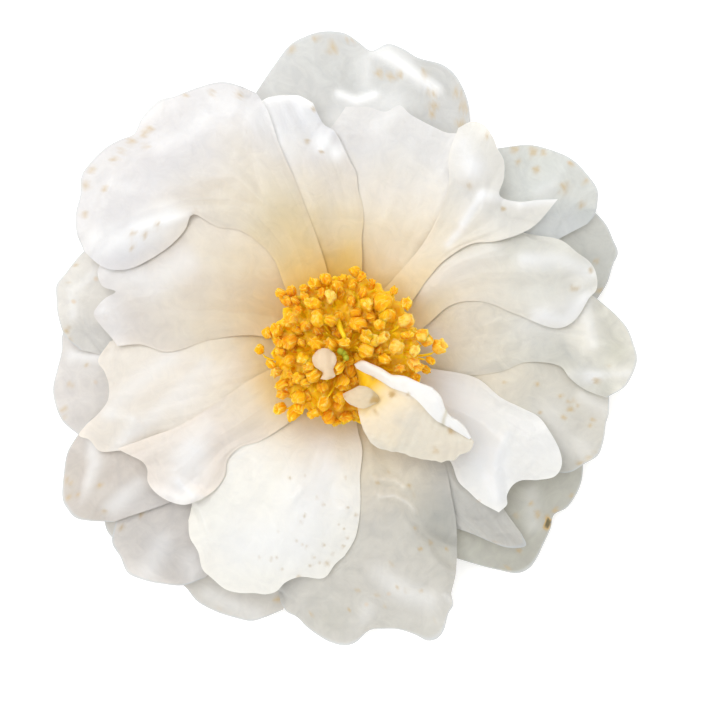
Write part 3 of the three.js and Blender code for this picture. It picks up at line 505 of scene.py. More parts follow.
innerPetals = [
    {"tier": 5, "claw": 97, "tintAndShade": (0.666, 0.672, 0.725), "throatStainAndShade": 1.0, "stainAndShadeTo": 36,
     "cw": [(82, 15), (84, 19), (84, 22), (85, 24.5), (87, 27), (88, 30), (90, 32), (91.5, 34), (93, 36),
            (94.5, 37.5), (96.5, 38.5), (98, 41)],
     "ccw": [(113, 18), (116, 34)],
     "rim": [(98.5, 42.5), (101, 44), (103, 44.5), (106, 45), (109, 45), (113, 43)],
     "folds": [(0.9, 0.9, [(-14.5, 43), (-10.5, 44), (-6.6, 42.4)]),
               (0.8, 0.8, [(-2.9, 36.9), (-4.5, 34.2)]), (0.5, 1.0, [(-14.1, 41.5), (-12, 35.3)])],
     "paintedShadingStrokes": [(0.9, 1.2, [(-14.5, 43), (-10, 43.6), (-6.6, 42.4)]), (0.8, 1.5, [(-5, 35), (-2.4, 33.6)]),
               (0.4, 1.6, [(-8, 41), (-5, 37)]), (0.4, 3, [(-13, 41), (-10.5, 34)]),
               (-0.12, 4, [(-9, 30), (-5, 25)]), (-0.5, 4, [(-6, 21.5), (-4.5, 17)])],
     "stains": [(-6.2, 41, 0.7), (-7.1, 35.4, 0.7), (-4.8, 33.7, 0.5)]},
    {"tier": 4, "claw": 70, "tintAndShade": (0.783, 0.77, 0.77), "throatStainAndShade": 0.8,
     "cw": [(44, 17), (45, 29)], "ccw": [(106, 18), (102, 32)],
     "rim": [(49, 39), (57, 41), (62, 41.5), (66, 40.5), (68.5, 40.5), (73.5, 41), (76, 41.5),
             (78.5, 42.5), (81.5, 41), (85.5, 41.5), (91, 41.5)],
     "folds": [(0.6, 1.5, [(4.5, 38), (9, 41)]), (-0.6, 3.0, [(5, 35)])],
     "paintedShadingStrokes": [(-0.35, 3.5, [(-0.5, 20), (1, 16)]), (0.25, 3, [(13, 39), (16, 38)])]},
    {"tier": 5, "claw": 52, "tintAndShade": (0.775, 0.758, 0.718), "throatStainAndShade": 0.8,
     "cw": [(38, 13), (42.5, 18), (43.5, 22), (41, 27.5), (37.2, 30.3), (34.5, 34.5), (34, 38)],
     "ccw": [(58, 15), (55.5, 22), (57, 28), (59, 32.5), (63, 37)],
     "rim": [(36, 43.7), (38.5, 41), (41.5, 38), (46, 36.5), (48, 39), (51, 41.5), (54, 42.5), (56, 43.5),
             (59.5, 44.5), (62, 44), (64, 42)],
     "folds": [(0.8, 2.6, [(20.5, 30.6)]), (-0.6, 1.3, [(16.3, 27), (21.5, 26.7)]),
               (0.6, 1.0, [(21.8, 25.7), (19, 21.5)]), (0.8, 1.0, [(29.5, 24.6), (35.5, 25.8)])],
     "paintedShadingStrokes": [(0.6, 1.0, [(22.5, 26.4), (29, 25.2), (35, 25.8)]), (0.5, 2, [(19, 35), (21, 31)]),
               (0.5, 0.7, [(16.7, 17.9), (18.6, 20.2), (21, 24), (22.4, 26.4)])],
     "stains": [(15.8, 33.7, 0.8), (20.2, 28, 0.7), (23.2, 36.2, 0.7), (26, 24, 0.6)]},
    {"tier": 4, "claw": 22, "tintAndShade": (0.751, 0.742, 0.691), "throatStainAndShade": 0.65,
     "cw": [(17, 13), (24, 19), (20, 24), (12, 29), (6, 35.5), (7.5, 38.5)],
     "ccw": [(46, 16), (45.5, 24), (42, 31)],
     "rim": [(12.3, 41.6), (13.7, 43.2), (16.9, 43.9), (19.9, 43.6), (23.4, 42), (27.5, 40.5), (32, 37)],
     "folds": [(0.9, 2.6, [(12.5, 10.5), (18, 14), (24, 17)]),
               (0.5, 1.3, [(29.9, 15.5), (35.7, 15.6), (40.8, 13.4)]), (0.5, 1.5, [(33, 6.5), (40, 8.8)]),
               (-0.4, 1.8, [(30, 11), (37, 11.5)])],
     "paintedShadingStrokes": [(0.7, 1.4, [(32, 5.5), (36.5, 5), (40.3, 8.5)]),
               (-0.15, 2.5, [(20, 17), (30, 18.5), (38, 16)]),
               (0.4, 1.6, [(29.9, 15.3), (36, 15.4), (41, 13)])],
     "stains": [(38.1, 10.5, 0.9), (41, 13.7, 0.7)]},
    {"tier": 4, "claw": -32, "tintAndShade": (0.955, 0.955, 0.943), "throatStainAndShade": 0.3,
     "cw": [(-52, 14), (-49, 20), (-48, 25.5), (-50.5, 29), (-50, 31.5), (-49.5, 34)],
     "ccw": [(-13, 13), (-12.5, 22), (-17.5, 27)],
     "rim": [(-47.5, 37.5), (-44.5, 37.5), (-43, 36.5), (-40, 36), (-37.5, 36.5), (-34.5, 39), (-31.5, 41),
             (-28.5, 41), (-25.5, 39.5), (-22, 36.5), (-19.5, 34), (-18.5, 30.5)],
     "paintedShadingStrokes": [(0.9, 3.4, [(12.5, -1), (16, -6), (20, -12), (22.5, -18)]),
               (0.4, 2.5, [(32, -13), (35, -17)]), (0.8, 2.2, [(24, -19), (25.2, -24.5)])],
     "folds": [(0.7, 1.0, [(26.4, -14.6), (25, -17.9), (24.5, -20.1)]),
               (0.7, 0.8, [(24.8, -21), (25.4, -25.5)]), (-0.6, 1.8, [(22, -21)])],
     "stains": [(35.2, -14.8, 0.5)]},
    {"tier": 4, "claw": -105, "tintAndShade": (0.955, 0.938, 0.873), "throatStainAndShade": 0.8, "stainAndShadeTo": 27,
     "cw": [(-142, 18), (-141, 32)],
     "ccw": [(-84.5, 13.5), (-83, 17), (-85.5, 21.5), (-86, 25.5), (-87, 29), (-88.5, 32)],
     "rim": [(-133.5, 40), (-130.5, 42), (-127, 43), (-124, 45), (-121, 45.5), (-117.5, 46),
             (-114.5, 45.5), (-111.5, 44.5), (-109, 44), (-107, 43), (-105.5, 41), (-102.5, 39.5),
             (-96.5, 39), (-94, 36.5), (-91.5, 35)],
     "paintedShadingStrokes": [(-0.3, 2.5, [(-1.5, -16), (-1, -22)]), (0.6, 5, [(-6, -24), (-9, -33), (-18, -33)]),
               (0.4, 3, [(-3, -20), (-4, -16)])],
     "folds": [(0.35, 0.5, [(-9.4, -25), (-8.2, -23.5)]), (-0.5, 2.4, [(-3, -24)]),
               (0.4, 1.2, [(-1, -27)])],
     "stains": [(-10.2, -21.8, 0.41), (-7.7, -21.2, 0.3), (-5.6, -25.1, 0.34), (-4.4, -26.1, 0.38),
                (-0.8, -21.7, 0.3), (-7.7, -28, 0.38), (-8.2, -29.2, 0.34), (-12.2, -30.7, 0.3),
                (-9.2, -32.3, 0.41), (-7.5, -33.4, 0.45), (-8, -33.1, 0.3), (-4.5, -33.2, 0.45),
                (1, -28, 0.45), (-0.5, -26.7, 0.3), (-1, -30.3, 0.3), (-1.8, -29.5, 0.3),
                (-0.4, -31.9, 0.38), (-1.1, -33.4, 0.38), (-2.9, -34.6, 0.52), (-6.2, -35.2, 0.38),
                (-5.1, -36, 0.38), (-3.9, -36.3, 0.75), (-6.7, -36.6, 0.38), (-15.3, -35.4, 0.38),
                (-13.3, -35.5, 0.38), (-12.5, -35.1, 0.3), (-11.6, -37.2, 0.3), (-8.7, -38.7, 0.68),
                (-7.8, -39, 0.45)]},
    {"tier": 5, "claw": -149, "tintAndShade": (0.83, 0.749, 0.682), "throatStainAndShade": 1.0, "stainAndShadeTo": 27,
     "cw": [(-168, 12), (-163, 18), (-158, 25), (-156, 31.5), (-156.5, 37)],
     "ccw": [(-128, 13), (-134.5, 21.5), (-138.5, 25), (-138, 28), (-135, 30), (-134, 33)],
     "rim": [(-157, 43), (-154.5, 41.5), (-151.5, 40), (-149.5, 40), (-147, 41), (-144, 41), (-140, 40),
             (-137, 38.5), (-135, 36)],
     "folds": [(-0.7, 1.3, [(-26, -22.4)]), (0.6, 0.9, [(-29, -22.5), (-26.5, -24.5)]),
               (0.7, 1.0, [(-33.2, -24), (-28.6, -26), (-25.5, -25)]),
               (0.5, 2.0, [(-24, -13), (-29, -18)])],
     "paintedShadingStrokes": [(0.6, 3, [(-26, -18), (-29, -24)]), (-0.2, 2.5, [(-17, -13), (-22, -19)])]},
    {"tier": 4, "claw": 189, "tintAndShade": (0.848, 0.775, 0.693), "throatStainAndShade": 0.9, "stainAndShadeTo": 28,
     "cw": [(167, 18), (171, 32)], "ccw": [(213, 18), (211, 32)],
     "rim": [(178, 41), (182.5, 43), (185, 42), (188, 41.5), (191.5, 42), (194, 44), (196, 47),
             (197.5, 48.5), (199, 47), (202, 46), (203.5, 43)],
     "folds": [(0.5, 1.0, [(-41.5, -11), (-37, -11.5)]), (0.6, 1.4, [(-36.6, -12.7), (-39.6, -17)]),
               (-0.5, 1.8, [(-33, -15), (-38, -18.5)])],
     "paintedShadingStrokes": [(0.3, 1.6, [(-30.7, -1.3), (-36, -5.5), (-41, -10.3)]), (-0.25, 2.5, [(-15, -1), (-20, 0)]),
               (0.3, 1.5, [(-24.6, -2.3), (-31, -8.5), (-38, -16)]),
               (0.2, 1.5, [(-18, -0.4), (-23, -4.5), (-28.8, -9)]),
               (-0.1, 1.2, [(-27, -3), (-34, -9.5)])]},
    {"tier": 5, "claw": 155, "tintAndShade": (0.625, 0.59, 0.59), "throatStainAndShade": 0.65, "stainAndShadeTo": 40,
     "cw": [(123, 16), (125, 28), (138, 36)],
     "ccw": [(172, 11), (171.5, 17), (176, 24), (180, 29), (180.5, 31.5), (178.5, 35.5)],
     "rim": [(148, 41), (155, 43), (160, 44.5), (162.5, 45), (165.5, 43.5), (166, 41), (168, 42.5),
             (170, 43.5), (172, 44), (174.5, 42.5), (176.5, 41), (179, 39.5)],
     "folds": [(0.7, 0.9, [(-42.5, 8.8), (-42, 6.5)]), (-0.6, 3.0, [(-34, 9)]),
               (0.5, 1.0, [(-41.5, 14), (-43, 12.5)])],
     "paintedShadingStrokes": [(0.3, 3, [(-41.5, 8), (-40, 1)]), (0.5, 3, [(-40, 14), (-34, 11.5), (-28, 15)]),
               (-0.14, 6, [(-20, 13), (-26, 17), (-34, 16)]), (-0.1, 3, [(-24, 6), (-36, 2)])]},
    {"tier": 6, "claw": 130, "tintAndShade": (0.638, 0.631, 0.662), "throatStainAndShade": 0.95, "stainAndShadeTo": 40, "edge": 0.8,
     "cw": [(106, 16), (108, 30), (109, 37), (109, 43)],
     "ccw": [(138, 14), (130, 20), (130.4, 24), (132.8, 27.7), (137, 30.5), (139.3, 35.2), (143.8, 34.6),
             (149.8, 35.2), (155.8, 37.3), (159.9, 40), (161.5, 43.4), (160.8, 46)],
     "rim": [(110, 46.5), (112.5, 48.5), (115.5, 50.5), (119.5, 51.5), (124.5, 52.5), (127.5, 53.5),
             (132, 53), (135, 52), (137.5, 53), (140.5, 54), (144, 54.5), (147, 54.5), (150, 53),
             (154, 52), (157, 50.5), (159.5, 48.5)],
     "folds": [(0.8, 1.3, [(-32.3, 43.2), (-34.3, 40.3), (-36.2, 38.3)]),
               (0.9, 1.8, [(-32.3, 34.9), (-28.1, 37.1), (-24.7, 39.4)]), (-0.8, 2.2, [(-29.7, 39.8)]),
               (0.4, 1.0, [(-23.3, 43)]), (0.5, 1.4, [(-40.5, 28), (-37.5, 27.5)]),
               (0.9, 1.2, [(-36.4, 20.8), (-31, 22), (-27.5, 22.9)]), (-0.7, 2.0, [(-44, 21)])],
     "paintedShadingStrokes": [(0.6, 2.6, [(-42.5, 18.5), (-37, 19), (-31, 23)]), (-0.16, 7, [(-26, 30), (-14, 27)]),
               (-0.6, 4.5, [(-10.5, 17.5), (-12.5, 22)]), (-0.15, 4, [(-14, 24), (-17, 27)]),
               (0.3, 3.5, [(-20, 41), (-16, 40)]), (0.3, 2.5, [(-13.5, 40), (-12.5, 34)]),
               (-0.12, 3, [(-37, 38), (-43, 30)])],
     "stains": [(-28, 43.4, 0.77), (-18.7, 43.2, 0.88), (-23.4, 43.6, 0.77), (-34.1, 37.7, 0.99),
                (-35.1, 36.7, 0.99), (-34.7, 34.6, 0.88), (-37.2, 35.5, 0.99), (-38.8, 33.8, 0.77),
                (-40.1, 32.3, 0.88), (-44, 30.8, 0.88), (-45.1, 28.1, 1.21), (-41.9, 27.5, 0.66),
                (-45.2, 23.2, 0.88), (-32.4, 21.3, 0.77), (-36.8, 19.6, 0.99), (-34.7, 19.4, 0.88),
                (-36.9, 17.4, 0.77)]},
]


def tierHeight(tier, distance):
    reach = np.maximum(distance - sheet["clawRadius"], 0)
    foot = sheet["tierOneHeight"] + (tier - 1) * sheet["tierStep"]
    rise = sheet["tierOneRise"] + (tier - 1) * sheet["riseStep"]
    droop = sheet["tierOneDroop"] - (tier - 1) * sheet["droopStep"]
    levelled = rise * (1 - np.exp(-reach / sheet["riseLength"]))
    return foot + levelled - droop * (reach / sheet["droopReach"]) ** sheet["droopPower"]


def petalPlan(petal):
    # the sheet's points seen from above, from foot to rim and from its clockwise side across
    v = np.linspace(-1, 1, sheet["across"] + 1)
    foot = np.array([polar((petal["claw"] + k * sheet["clawHalfAngle"], sheet["clawRadius"])) for k in v])
    rim = smoothLine([polar(p) for p in petal["rim"]], sheet["across"])
    sideA = smoothLine([foot[0], *map(polar, petal["cw"]), rim[0]], sheet["along"])
    sideB = smoothLine([foot[-1], *map(polar, petal["ccw"]), rim[-1]], sheet["along"])
    return patch(foot, sideA, sideB, rim)


def evened(plan, turns):
    # spreads the inner points out evenly, so that the sheet doesn't fold over where its outline bends in
    p = plan.copy()
    for turn in range(turns):
        along, across = p[2:, 1:-1] - p[:-2, 1:-1], p[1:-1, 2:] - p[1:-1, :-2]
        a, b = (across ** 2).sum(-1, keepdims=True), (along ** 2).sum(-1, keepdims=True)
        skew = (along * across).sum(-1, keepdims=True)
        corners = p[2:, 2:] - p[2:, :-2] - p[:-2, 2:] + p[:-2, :-2]
        spread = a * (p[2:, 1:-1] + p[:-2, 1:-1]) + b * (p[1:-1, 2:] + p[1:-1, :-2]) - 0.5 * skew * corners
        p[1:-1, 1:-1] = spread / (2 * (a + b) + 1e-9)
    return p


# how high the petals made so far reach, on a square grid of cells about the axis
restCells = 160
restMap = np.zeros((restCells, restCells))


def blurred(grid, turns):
    for turn in range(turns):
        for axis in (0, 1):
            grid = 0.25 * np.roll(grid, 1, axis) + 0.5 * grid + 0.25 * np.roll(grid, -1, axis)
    return grid


def spreadOut(grid):
    # every cell takes the highest of its neighbours
    return np.max([np.roll(grid, (i, j), (0, 1)) for i in (-1, 0, 1) for j in (-1, 0, 1)], axis=0)


def sampled(grid, plan):
    cells = np.clip(plan / sheet["cell"] + restCells / 2 - 0.5, 0, restCells - 2)
    i = cells.astype(int)
    k = cells - i
    x, y = i[..., 0], i[..., 1]
    low = grid[x, y] * (1 - k[..., 0]) + grid[x + 1, y] * k[..., 0]
    high = grid[x, y + 1] * (1 - k[..., 0]) + grid[x + 1, y + 1] * k[..., 0]
    return low * (1 - k[..., 1]) + high * k[..., 1]


def cellsOf(plan):
    cells = np.clip((plan / sheet["cell"] + restCells / 2).astype(int), 0, restCells - 1).reshape(-1, 2)
    return cells[:, 0], cells[:, 1]


def restOn(plan, height, above):
    # the edges that no higher petal hides come down onto the petals below;
    # the second result is how low the sheet may go
    hidden = np.clip(2 * sampled(above, plan) - 1, 0, 1)
    reached = spreadOut(spreadOut(restMap))
    covered = blurred((reached > 0).astype(float), 3)
    level = blurred(reached, 3) / np.maximum(covered, 0.05)
    beneath, cover = sampled(level, plan) + sheet["restGap"], sampled(covered, plan)
    steps = np.linalg.norm(np.diff(plan, axis=1), axis=-1)
    across = np.concatenate([np.zeros((len(plan), 1)), np.cumsum(steps, axis=1)], axis=1)
    span = across[:, -1:]
    toRim = np.linalg.norm(np.diff(plan, axis=0), axis=-1)[::-1]
    inFromRim = np.concatenate([np.cumsum(toRim, axis=0)[::-1], np.zeros((1, plan.shape[1]))])
    width = sheet["restWidth"]
    near = np.zeros(plan.shape[:2])
    for inward, weight in ((across, 1 - hidden[:, :1]), (span - across, 1 - hidden[:, -1:]),
                           (inFromRim, sheet["restAtRim"] * (1 - hidden[-1:]))):
        share = np.clip(1 - inward / width, 0, 1)
        near = np.maximum(near, weight * share * share * (3 - 2 * share))
    down = np.clip(beneath - height, -sheet["restLimit"], 0)
    return height + near * down * np.clip(2 * cover - 1, 0, 1), beneath - 40 * (1 - cover)


def coverAbove(tier):
    # where petals of higher tiers lie
    above = np.zeros((restCells, restCells))
    for petal in outerPetals + innerPetals:
        if petal["tier"] > tier:
            above[cellsOf(petal["plan"])] = 1
    return blurred(above, 4)


def alongAndAcross(plan):
    rows, columns = plan.shape[:2]
    u = np.linspace(0, 1, rows)[:, None] * np.ones((1, columns))
    return u, np.ones((rows, 1)) * np.linspace(0, 1, columns)[None]


def petalBlade(petal, plan, sideLift):
    # the smooth blade
    u, v = alongAndAcross(plan)
    distance = np.linalg.norm(plan, axis=-1)
    outward = np.clip((distance - sheet["clawRadius"]) / sheet["reach"], 0, 1)
    height = tierHeight(petal["tier"], distance) - petal.get("tip", 0) * u ** 4
    height += sideLift * np.abs(2 * v - 1) ** 3 * np.sin(math.pi * u / 1.3)
    return height + sheet["swell"] * outward * bumps(plan, sheet["swellSize"], 0)


def petalRelief(petal, plan, seed):
    # ruffles, pleats, wrinkles, crinkles and folds on it; the first three follow the blade, as shares of it
    u, v = alongAndAcross(plan)
    weave = np.stack([v, u], axis=-1)
    height = sheet["ruffle"] * u ** 3 * bumps(weave, sheet["ruffleSize"], seed)
    height += sheet["crinkle"] * (0.15 + 0.85 * u ** 3) * bumps(plan, sheet["crinkleSize"], seed + 33)
    width = np.linalg.norm(plan[:, -1] - plan[:, 0], axis=-1)
    wide = np.clip(width / sheet["pleatedFromWidth"], 0, 1)[:, None] ** 1.5
    pleats = np.sin(math.pi * np.clip(u * 1.1, 0, 1)) * bumps(weave, sheet["pleatSize"], seed + 9)
    height += sheet["pleat"] * wide * pleats
    height += sheet["wrinkle"] * wide * u * bumps(weave, sheet["wrinkleSize"], seed + 21)
    for lift, width, line in petal.get("folds", []):
        far = lineDistance(plan, line)
        height += lift * np.exp(-(far / width) ** 2)
    return height


def stainAmount(stains, plan):
    # ragged brown marks
    amount = np.zeros(plan.shape[:2])
    ragged = sheet["stainRagged"] * bumps(plan, sheet["stainRaggedSize"], 3)
    for x, y, size, *given in stains:
        strength = given[0] if given else sheet["stainStrength"]
        far = np.hypot(plan[..., 0] - x, plan[..., 1] - y) / (0.5 * size) - ragged
        amount = np.maximum(amount, strength / (1 + np.exp(3 * max(1, strength) * (far - 1))))
    return amount


def paintedShadingAmount(petal, plan):
    # the petal's painted highlights and painted shade; the crests of its folds are painted a little paler
    # too, a painted highlight
    amount = np.zeros(plan.shape[:2])
    foldHighlights = [(sheet["foldHighlight"] * lift, width, line)
              for lift, width, line in petal.get("folds", []) if lift > 0]
    for strength, width, line in foldHighlights + petal.get("paintedShadingStrokes", []):
        far = lineDistance(plan, line)
        amount += strength * np.exp(-(far / width) ** 2)
    return np.clip(amount, -1, 1)


def petalSheet(plan, height):
    # a flat grid, laid out to the plan and raised to its height
    rows, columns = height.shape
    select()
    bpy.ops.mesh.primitive_grid_add(x_subdivisions=columns - 1, y_subdivisions=rows - 1, size=2)
    piece = bpy.context.object
    flat = readPoints(piece)
    row = np.rint((flat[:, 1] + 1) / 2 * (rows - 1)).astype(int)
    column = np.rint((flat[:, 0] + 1) / 2 * (columns - 1)).astype(int)
    points = np.empty_like(flat)
    points[:, :2] = plan[row, column]
    points[:, 2] = height[row, column]
    writePoints(piece, place(points))
    return piece, row, column


def thicken(piece, row, column, shape, thickness, rimShare):
    # the blade thins towards its rim and its sides
    group = piece.vertex_groups.new(name="body")
    toRim, toSide = row / (shape[0] - 1), np.abs(2 * column / (shape[1] - 1) - 1)
    share = np.round(1 - (1 - rimShare) * np.maximum(toRim ** 2, toSide ** 4), 2)
    for level in np.unique(share):
        group.add([int(i) for i in np.nonzero(share == level)[0]], float(level), "REPLACE")
    wall = piece.modifiers.new("wall", "SOLIDIFY")
    wall.thickness = thickness * mm
    wall.offset = 0
    wall.vertex_group = group.name
    wall.use_even_offset = False
    applyModifiers(piece)
    piece.vertex_groups.clear()
    bpy.ops.object.shade_smooth_by_angle(angle=math.radians(60))


def makePetal(petal, name, node, slot, seed):
    plan = petal["plan"]
    rested, lowest = restOn(plan, petalBlade(petal, plan, sheet["sideLift"]), coverAbove(petal["tier"]))
    height = np.maximum(rested + petalRelief(petal, plan, seed), lowest)
    np.maximum.at(restMap, cellsOf(plan), height.ravel())
    piece, row, column = petalSheet(plan, height)
    paint(piece, "stain", stainAmount(petal.get("stains", []), plan)[row, column])
    # painted highlights and painted shade
    paint(piece, "paintedShading", paintedShadingAmount(petal, plan)[row, column])
    thicken(piece, row, column, height.shape, sheet["thickness"], sheet["rimThickness"])
    outer = slot == "outer_petals"
    material = petalMaterial(
        name, petal["tintAndShade"], petal["throatStainAndShade"], petal.get("stainAndShadeTo", petalLook["throatFar"]),
        petal.get("edge", 1.0 if outer else 0.0), sheet["outerMottle" if outer else "innerMottle"])
    finishPiece(piece, name, material, [node])


def makePetals(petals, name, slot, seed):
    # the lowest tiers come first, so that each petal can rest on those below it
    for number, petal in sorted(enumerate(petals, 1), key=lambda pair: pair[1]["tier"]):
        makePetal(petal, f"{name}Petal{number}", f"{name}_petal_{number}", slot,
                  number * sheet["seedStep"] + seed)
    print(f"{name} petals made:", len(petals))


for petal in outerPetals + innerPetals:
    petal["plan"] = evened(petalPlan(petal), sheet["evenTurns"])
makePetals(outerPetals, "outer", "outer_petals", 0)
makePetals(innerPetals, "inner", "inner_petals", sheet["innerSeed"])


# Shapes laid out from a ball: its rings become the stations of a stem, bud or turned piece

def ballModel(segments, rings):
    select()
    bpy.ops.mesh.primitive_uv_sphere_add(segments=segments, ring_count=rings, radius=1)
    piece = bpy.context.object
    ball = readPoints(piece)
    ring = np.rint(np.arccos(np.clip(ball[:, 2], -1, 1)) / math.pi * rings).astype(int)
    turn = np.arctan2(ball[:, 1], ball[:, 0])
    return piece, rings - ring, turn


def smoothBy(piece, degrees):
    select(piece)
    bpy.ops.object.shade_smooth_by_angle(angle=math.radians(degrees))


def copyOf(model):
    piece = model.copy()
    piece.data = model.data.copy()
    bpy.context.scene.collection.objects.link(piece)
    return piece


def drop(piece):
    bpy.data.meshes.remove(piece.data)


def turnedPiece(profile, segments, rings, ridge=0.0, ridges=1, hollow=0.0):
    # a solid of revolution from (radius, height) pairs, with upright ridges
    piece, ring, turn = ballModel(segments, rings)
    line = smoothLine(profile, rings) if ridge else profileLine(profile, rings)
    radius, height = line[ring, 0], line[ring, 1]
    radius = radius * (1 + ridge * np.sin(ridges * turn))
    sink = hollowShare(turn) * hollow * np.clip(radius / 3, 0, 1)
    height = height - sink * np.clip(height - profile[0][1], 0, None)
    writePoints(piece, place(np.stack([radius * np.cos(turn), radius * np.sin(turn), height], axis=1)))
    return piece


def profileLine(profile, steps):
    # the broken line itself, with most of the steps spent where it bends
    p = np.array(profile, float)
    even = np.linspace(0, len(p) - 1, steps + 1)
    return np.stack([np.interp(even, np.arange(len(p)), p[:, a]) for a in range(2)], axis=1)


# Stamens

brush = {
    "seed": 5, "radius": 13.2, "bottom": 17.7, "top": 27.2,
    "bowl": [(0, 0.8), (0.25, 0.85), (0.55, 0.96), (0.84, 0.97), (1, 0.84), (1.15, 0.7)],
    "hollowAngle": -65, "hollowHalfAngle": 54, "hollowDepth": 0.57, "hollowPull": 0.2,
    "fill": 95, "fillTries": 6000, "fillRadius": 12.4, "spacing": 1.8, "sparserFrom": 5, "sparser": 1.3,
    "fillSize": (0.75, 0.95), "fillBelow": (0.8, 2.6), "fillPale": (0, 0.5), "fillLean": (10, 65),
    "antherSegments": 12, "antherRings": 8, "antherLength": 2.55, "leanShare": 0.75,
    "lobes": (6, 5, 2, 5, 6, 3, 2, 5), "cupped": (0, 1, 0, 0, 1, 0, 1, 1),
    "filamentSides": 6, "filamentRings": 9, "filamentRadius": 0.27, "tubeTop": 17.0, "tubeRadius": 4.9,
    "bentFrom": (-2.3, 6.2, 22.0), "bentTo": (-0.6, 1.7, 26.8), "bentAlong": (0.55, -0.8, 0.2),
    "bentRadius": 0.6,
    "amberInShade": (0.91, 0.43, 0.008, 1), "gold": (0.95, 0.50, 0.004, 1), "pale": (0.95, 0.66, 0.15, 1),
    "tan": (0.88, 0.50, 0.14, 1), "stalk": (0.96, 0.62, 0.006, 1), "stalkInShade": (0.96, 0.50, 0.002, 1),
    # the groove colour is painted shade in the anthers' grooves and wall folds
    "grooveShade": (0.94, 0.72, 0.42, 1), "paintedLightToRight": 0.015,
}

# heads that stand out: x, y, size, how far below the brush's top, paleness (partly painted light and shade),
# lean
standingHeads = [
    (0.5, 13.0, 0.9, 0.6, 0.2, 60), (-2.4, 10.8, 1.0, 0.3, 0.3, 40), (2.1, 9.9, 0.9, 0.7, 0.0, 50),
    (0.8, -4.9, 0.95, 0.2, 0.1, 30), (-0.9, 12.1, 0.9, 0.3, 0.5, 10), (1.9, 12.0, 0.8, 0.6, 0.1, 70),
    (-4.1, 11.8, 0.9, 0.6, 0.5, 75), (-5.6, 10.8, 1.1, 0.4, 0.55, 50), (-11.4, 9.6, 0.85, 0.4, 0.0, 75),
    (-10.8, 8.1, 0.85, 0.6, -0.1, 70), (-9.5, 9.9, 0.85, 0.3, 0.0, 60), (-9.2, 8.4, 0.85, 0.5, -0.1, 50),
    (-7.8, 9.9, 0.85, 0.4, 0.1, 55), (-7.5, 8.9, 0.8, 0.6, 0.1, 40), (-6.6, 7.7, 1.15, 0.3, 0.45, 30),
    (-3.1, 8.4, 1.15, -0.6, 1.0, 8), (3.2, 7.2, 1.2, -0.5, 0.6, 5), (-5.1, 5.5, 1.2, -0.2, 0.6, 70),
    (-3.6, 4.9, 1.15, -0.3, 0.6, 60), (-7.1, 4.3, 1.0, 0.2, 0.2, 40), (-10.0, 4.6, 1.15, -0.3, 0.9, 45),
    (-12.1, 3.6, 1.2, 0.4, 0.5, 30), (-13.6, 2.9, 0.9, 0.8, 0.4, 60), (-10.0, 1.7, 1.1, 0.8, 0.0, 75),
    (-6.1, 1.2, 1.4, -0.2, 0.6, 20), (-3.1, 1.1, 1.05, -0.2, 0.65, 60), (-0.5, 0.9, 1.1, -0.4, 0.6, 30),
    (0.9, 4.3, 1.35, 0.4, 0.2, 20), (2.4, 2.2, 1.1, -0.2, 0.5, 40), (3.9, 1.9, 1.0, -0.5, 0.75, 85),
    (5.5, 1.9, 1.0, -0.5, 0.75, 85), (2.6, -0.3, 1.15, -0.3, 0.65, 80), (1.7, -1.3, 1.0, 0.1, 0.4, 60),
    (5.9, 7.6, 1.5, 0.0, 0.25, 65), (6.2, 5.9, 1.2, 0.4, 0.2, 60), (9.5, 8.0, 1.05, 0.4, 0.5, 10),
    (9.3, 5.0, 1.15, 0.2, 0.7, 70), (5.4, 4.3, 1.0, 0.2, 0.35, 60), (8.0, 0.2, 1.2, -0.1, 0.75, 50),
    (9.7, 2.2, 0.9, 0.8, 0.2, 40), (12.0, 2.6, 1.0, 0.8, 0.6, 75), (13.1, 1.3, 1.0, 1.0, 0.55, 70),
    (10.8, 0.0, 0.95, 0.2, 0.85, 30), (15.1, 0.2, 1.1, 1.2, 0.55, 65), (6.1, -1.6, 1.0, 0.3, 0.5, 40),
    (10.5, -2.3, 1.3, 0.3, 0.7, 55), (13.5, -1.9, 0.75, 1.6, 0.2, 50), (12.9, -3.4, 0.8, 1.8, 0.3, 50),
    (7.9, -3.2, 1.0, -0.2, 0.65, 30), (-15.0, 0.2, 0.8, 1.4, 0.8, 70), (-13.4, -2.2, 0.8, 1.2, 0.6, 60),
    (-12.2, -3.6, 1.0, 0.6, 1.0, 30), (-9.9, -2.0, 1.0, 0.3, 0.35, 55), (-7.8, -1.6, 1.05, -0.2, 0.75, 30),
    (-6.6, -3.0, 1.05, -0.3, 0.85, 75), (-6.1, -4.2, 1.1, -0.1, 0.6, 75), (-8.2, -4.5, 1.0, 0.4, 0.3, 55),
    (-7.3, -5.6, 1.0, 0.4, 0.3, 50), (-11.7, -5.9, 1.0, 0.6, 0.5, 55), (-11.0, -7.3, 0.9, 1.0, 0.0, 60),
    (-8.9, -7.8, 1.1, 0.4, 0.6, 55), (-11.7, -10.1, 0.95, 2.2, 0.9, 60), (-9.5, -11.3, 1.1, 2.4, 0.7, 65),
    (-8.1, -9.5, 1.0, 1.0, 0.7, 80), (-4.5, -8.8, 1.15, 0.3, 0.35, 65), (-3.7, -11.4, 1.0, 1.8, 0.05, 60),
    (-2.0, -12.0, 0.85, 2.2, 0.2, 65), (-0.9, -11.0, 0.9, 2.0, 0.0, 50), (0.9, -11.0, 0.8, 2.2, 0.2, 60),
    (-2.0, -2.9, 1.0, -0.3, 0.65, 80), (-1.4, -5.3, 1.15, 0.2, 0.45, 75), (-0.1, -3.7, 1.2, 0.5, 0.1, 50),
    (-1.6, -7.6, 1.0, 0.5, 0.3, 65),
]

# x, y and radius of what stays clear for the left petaloid and the pistil
clearSpots = [(-4.3, -1.9, 2.6), (-1.2, -0.7, 1.3)]

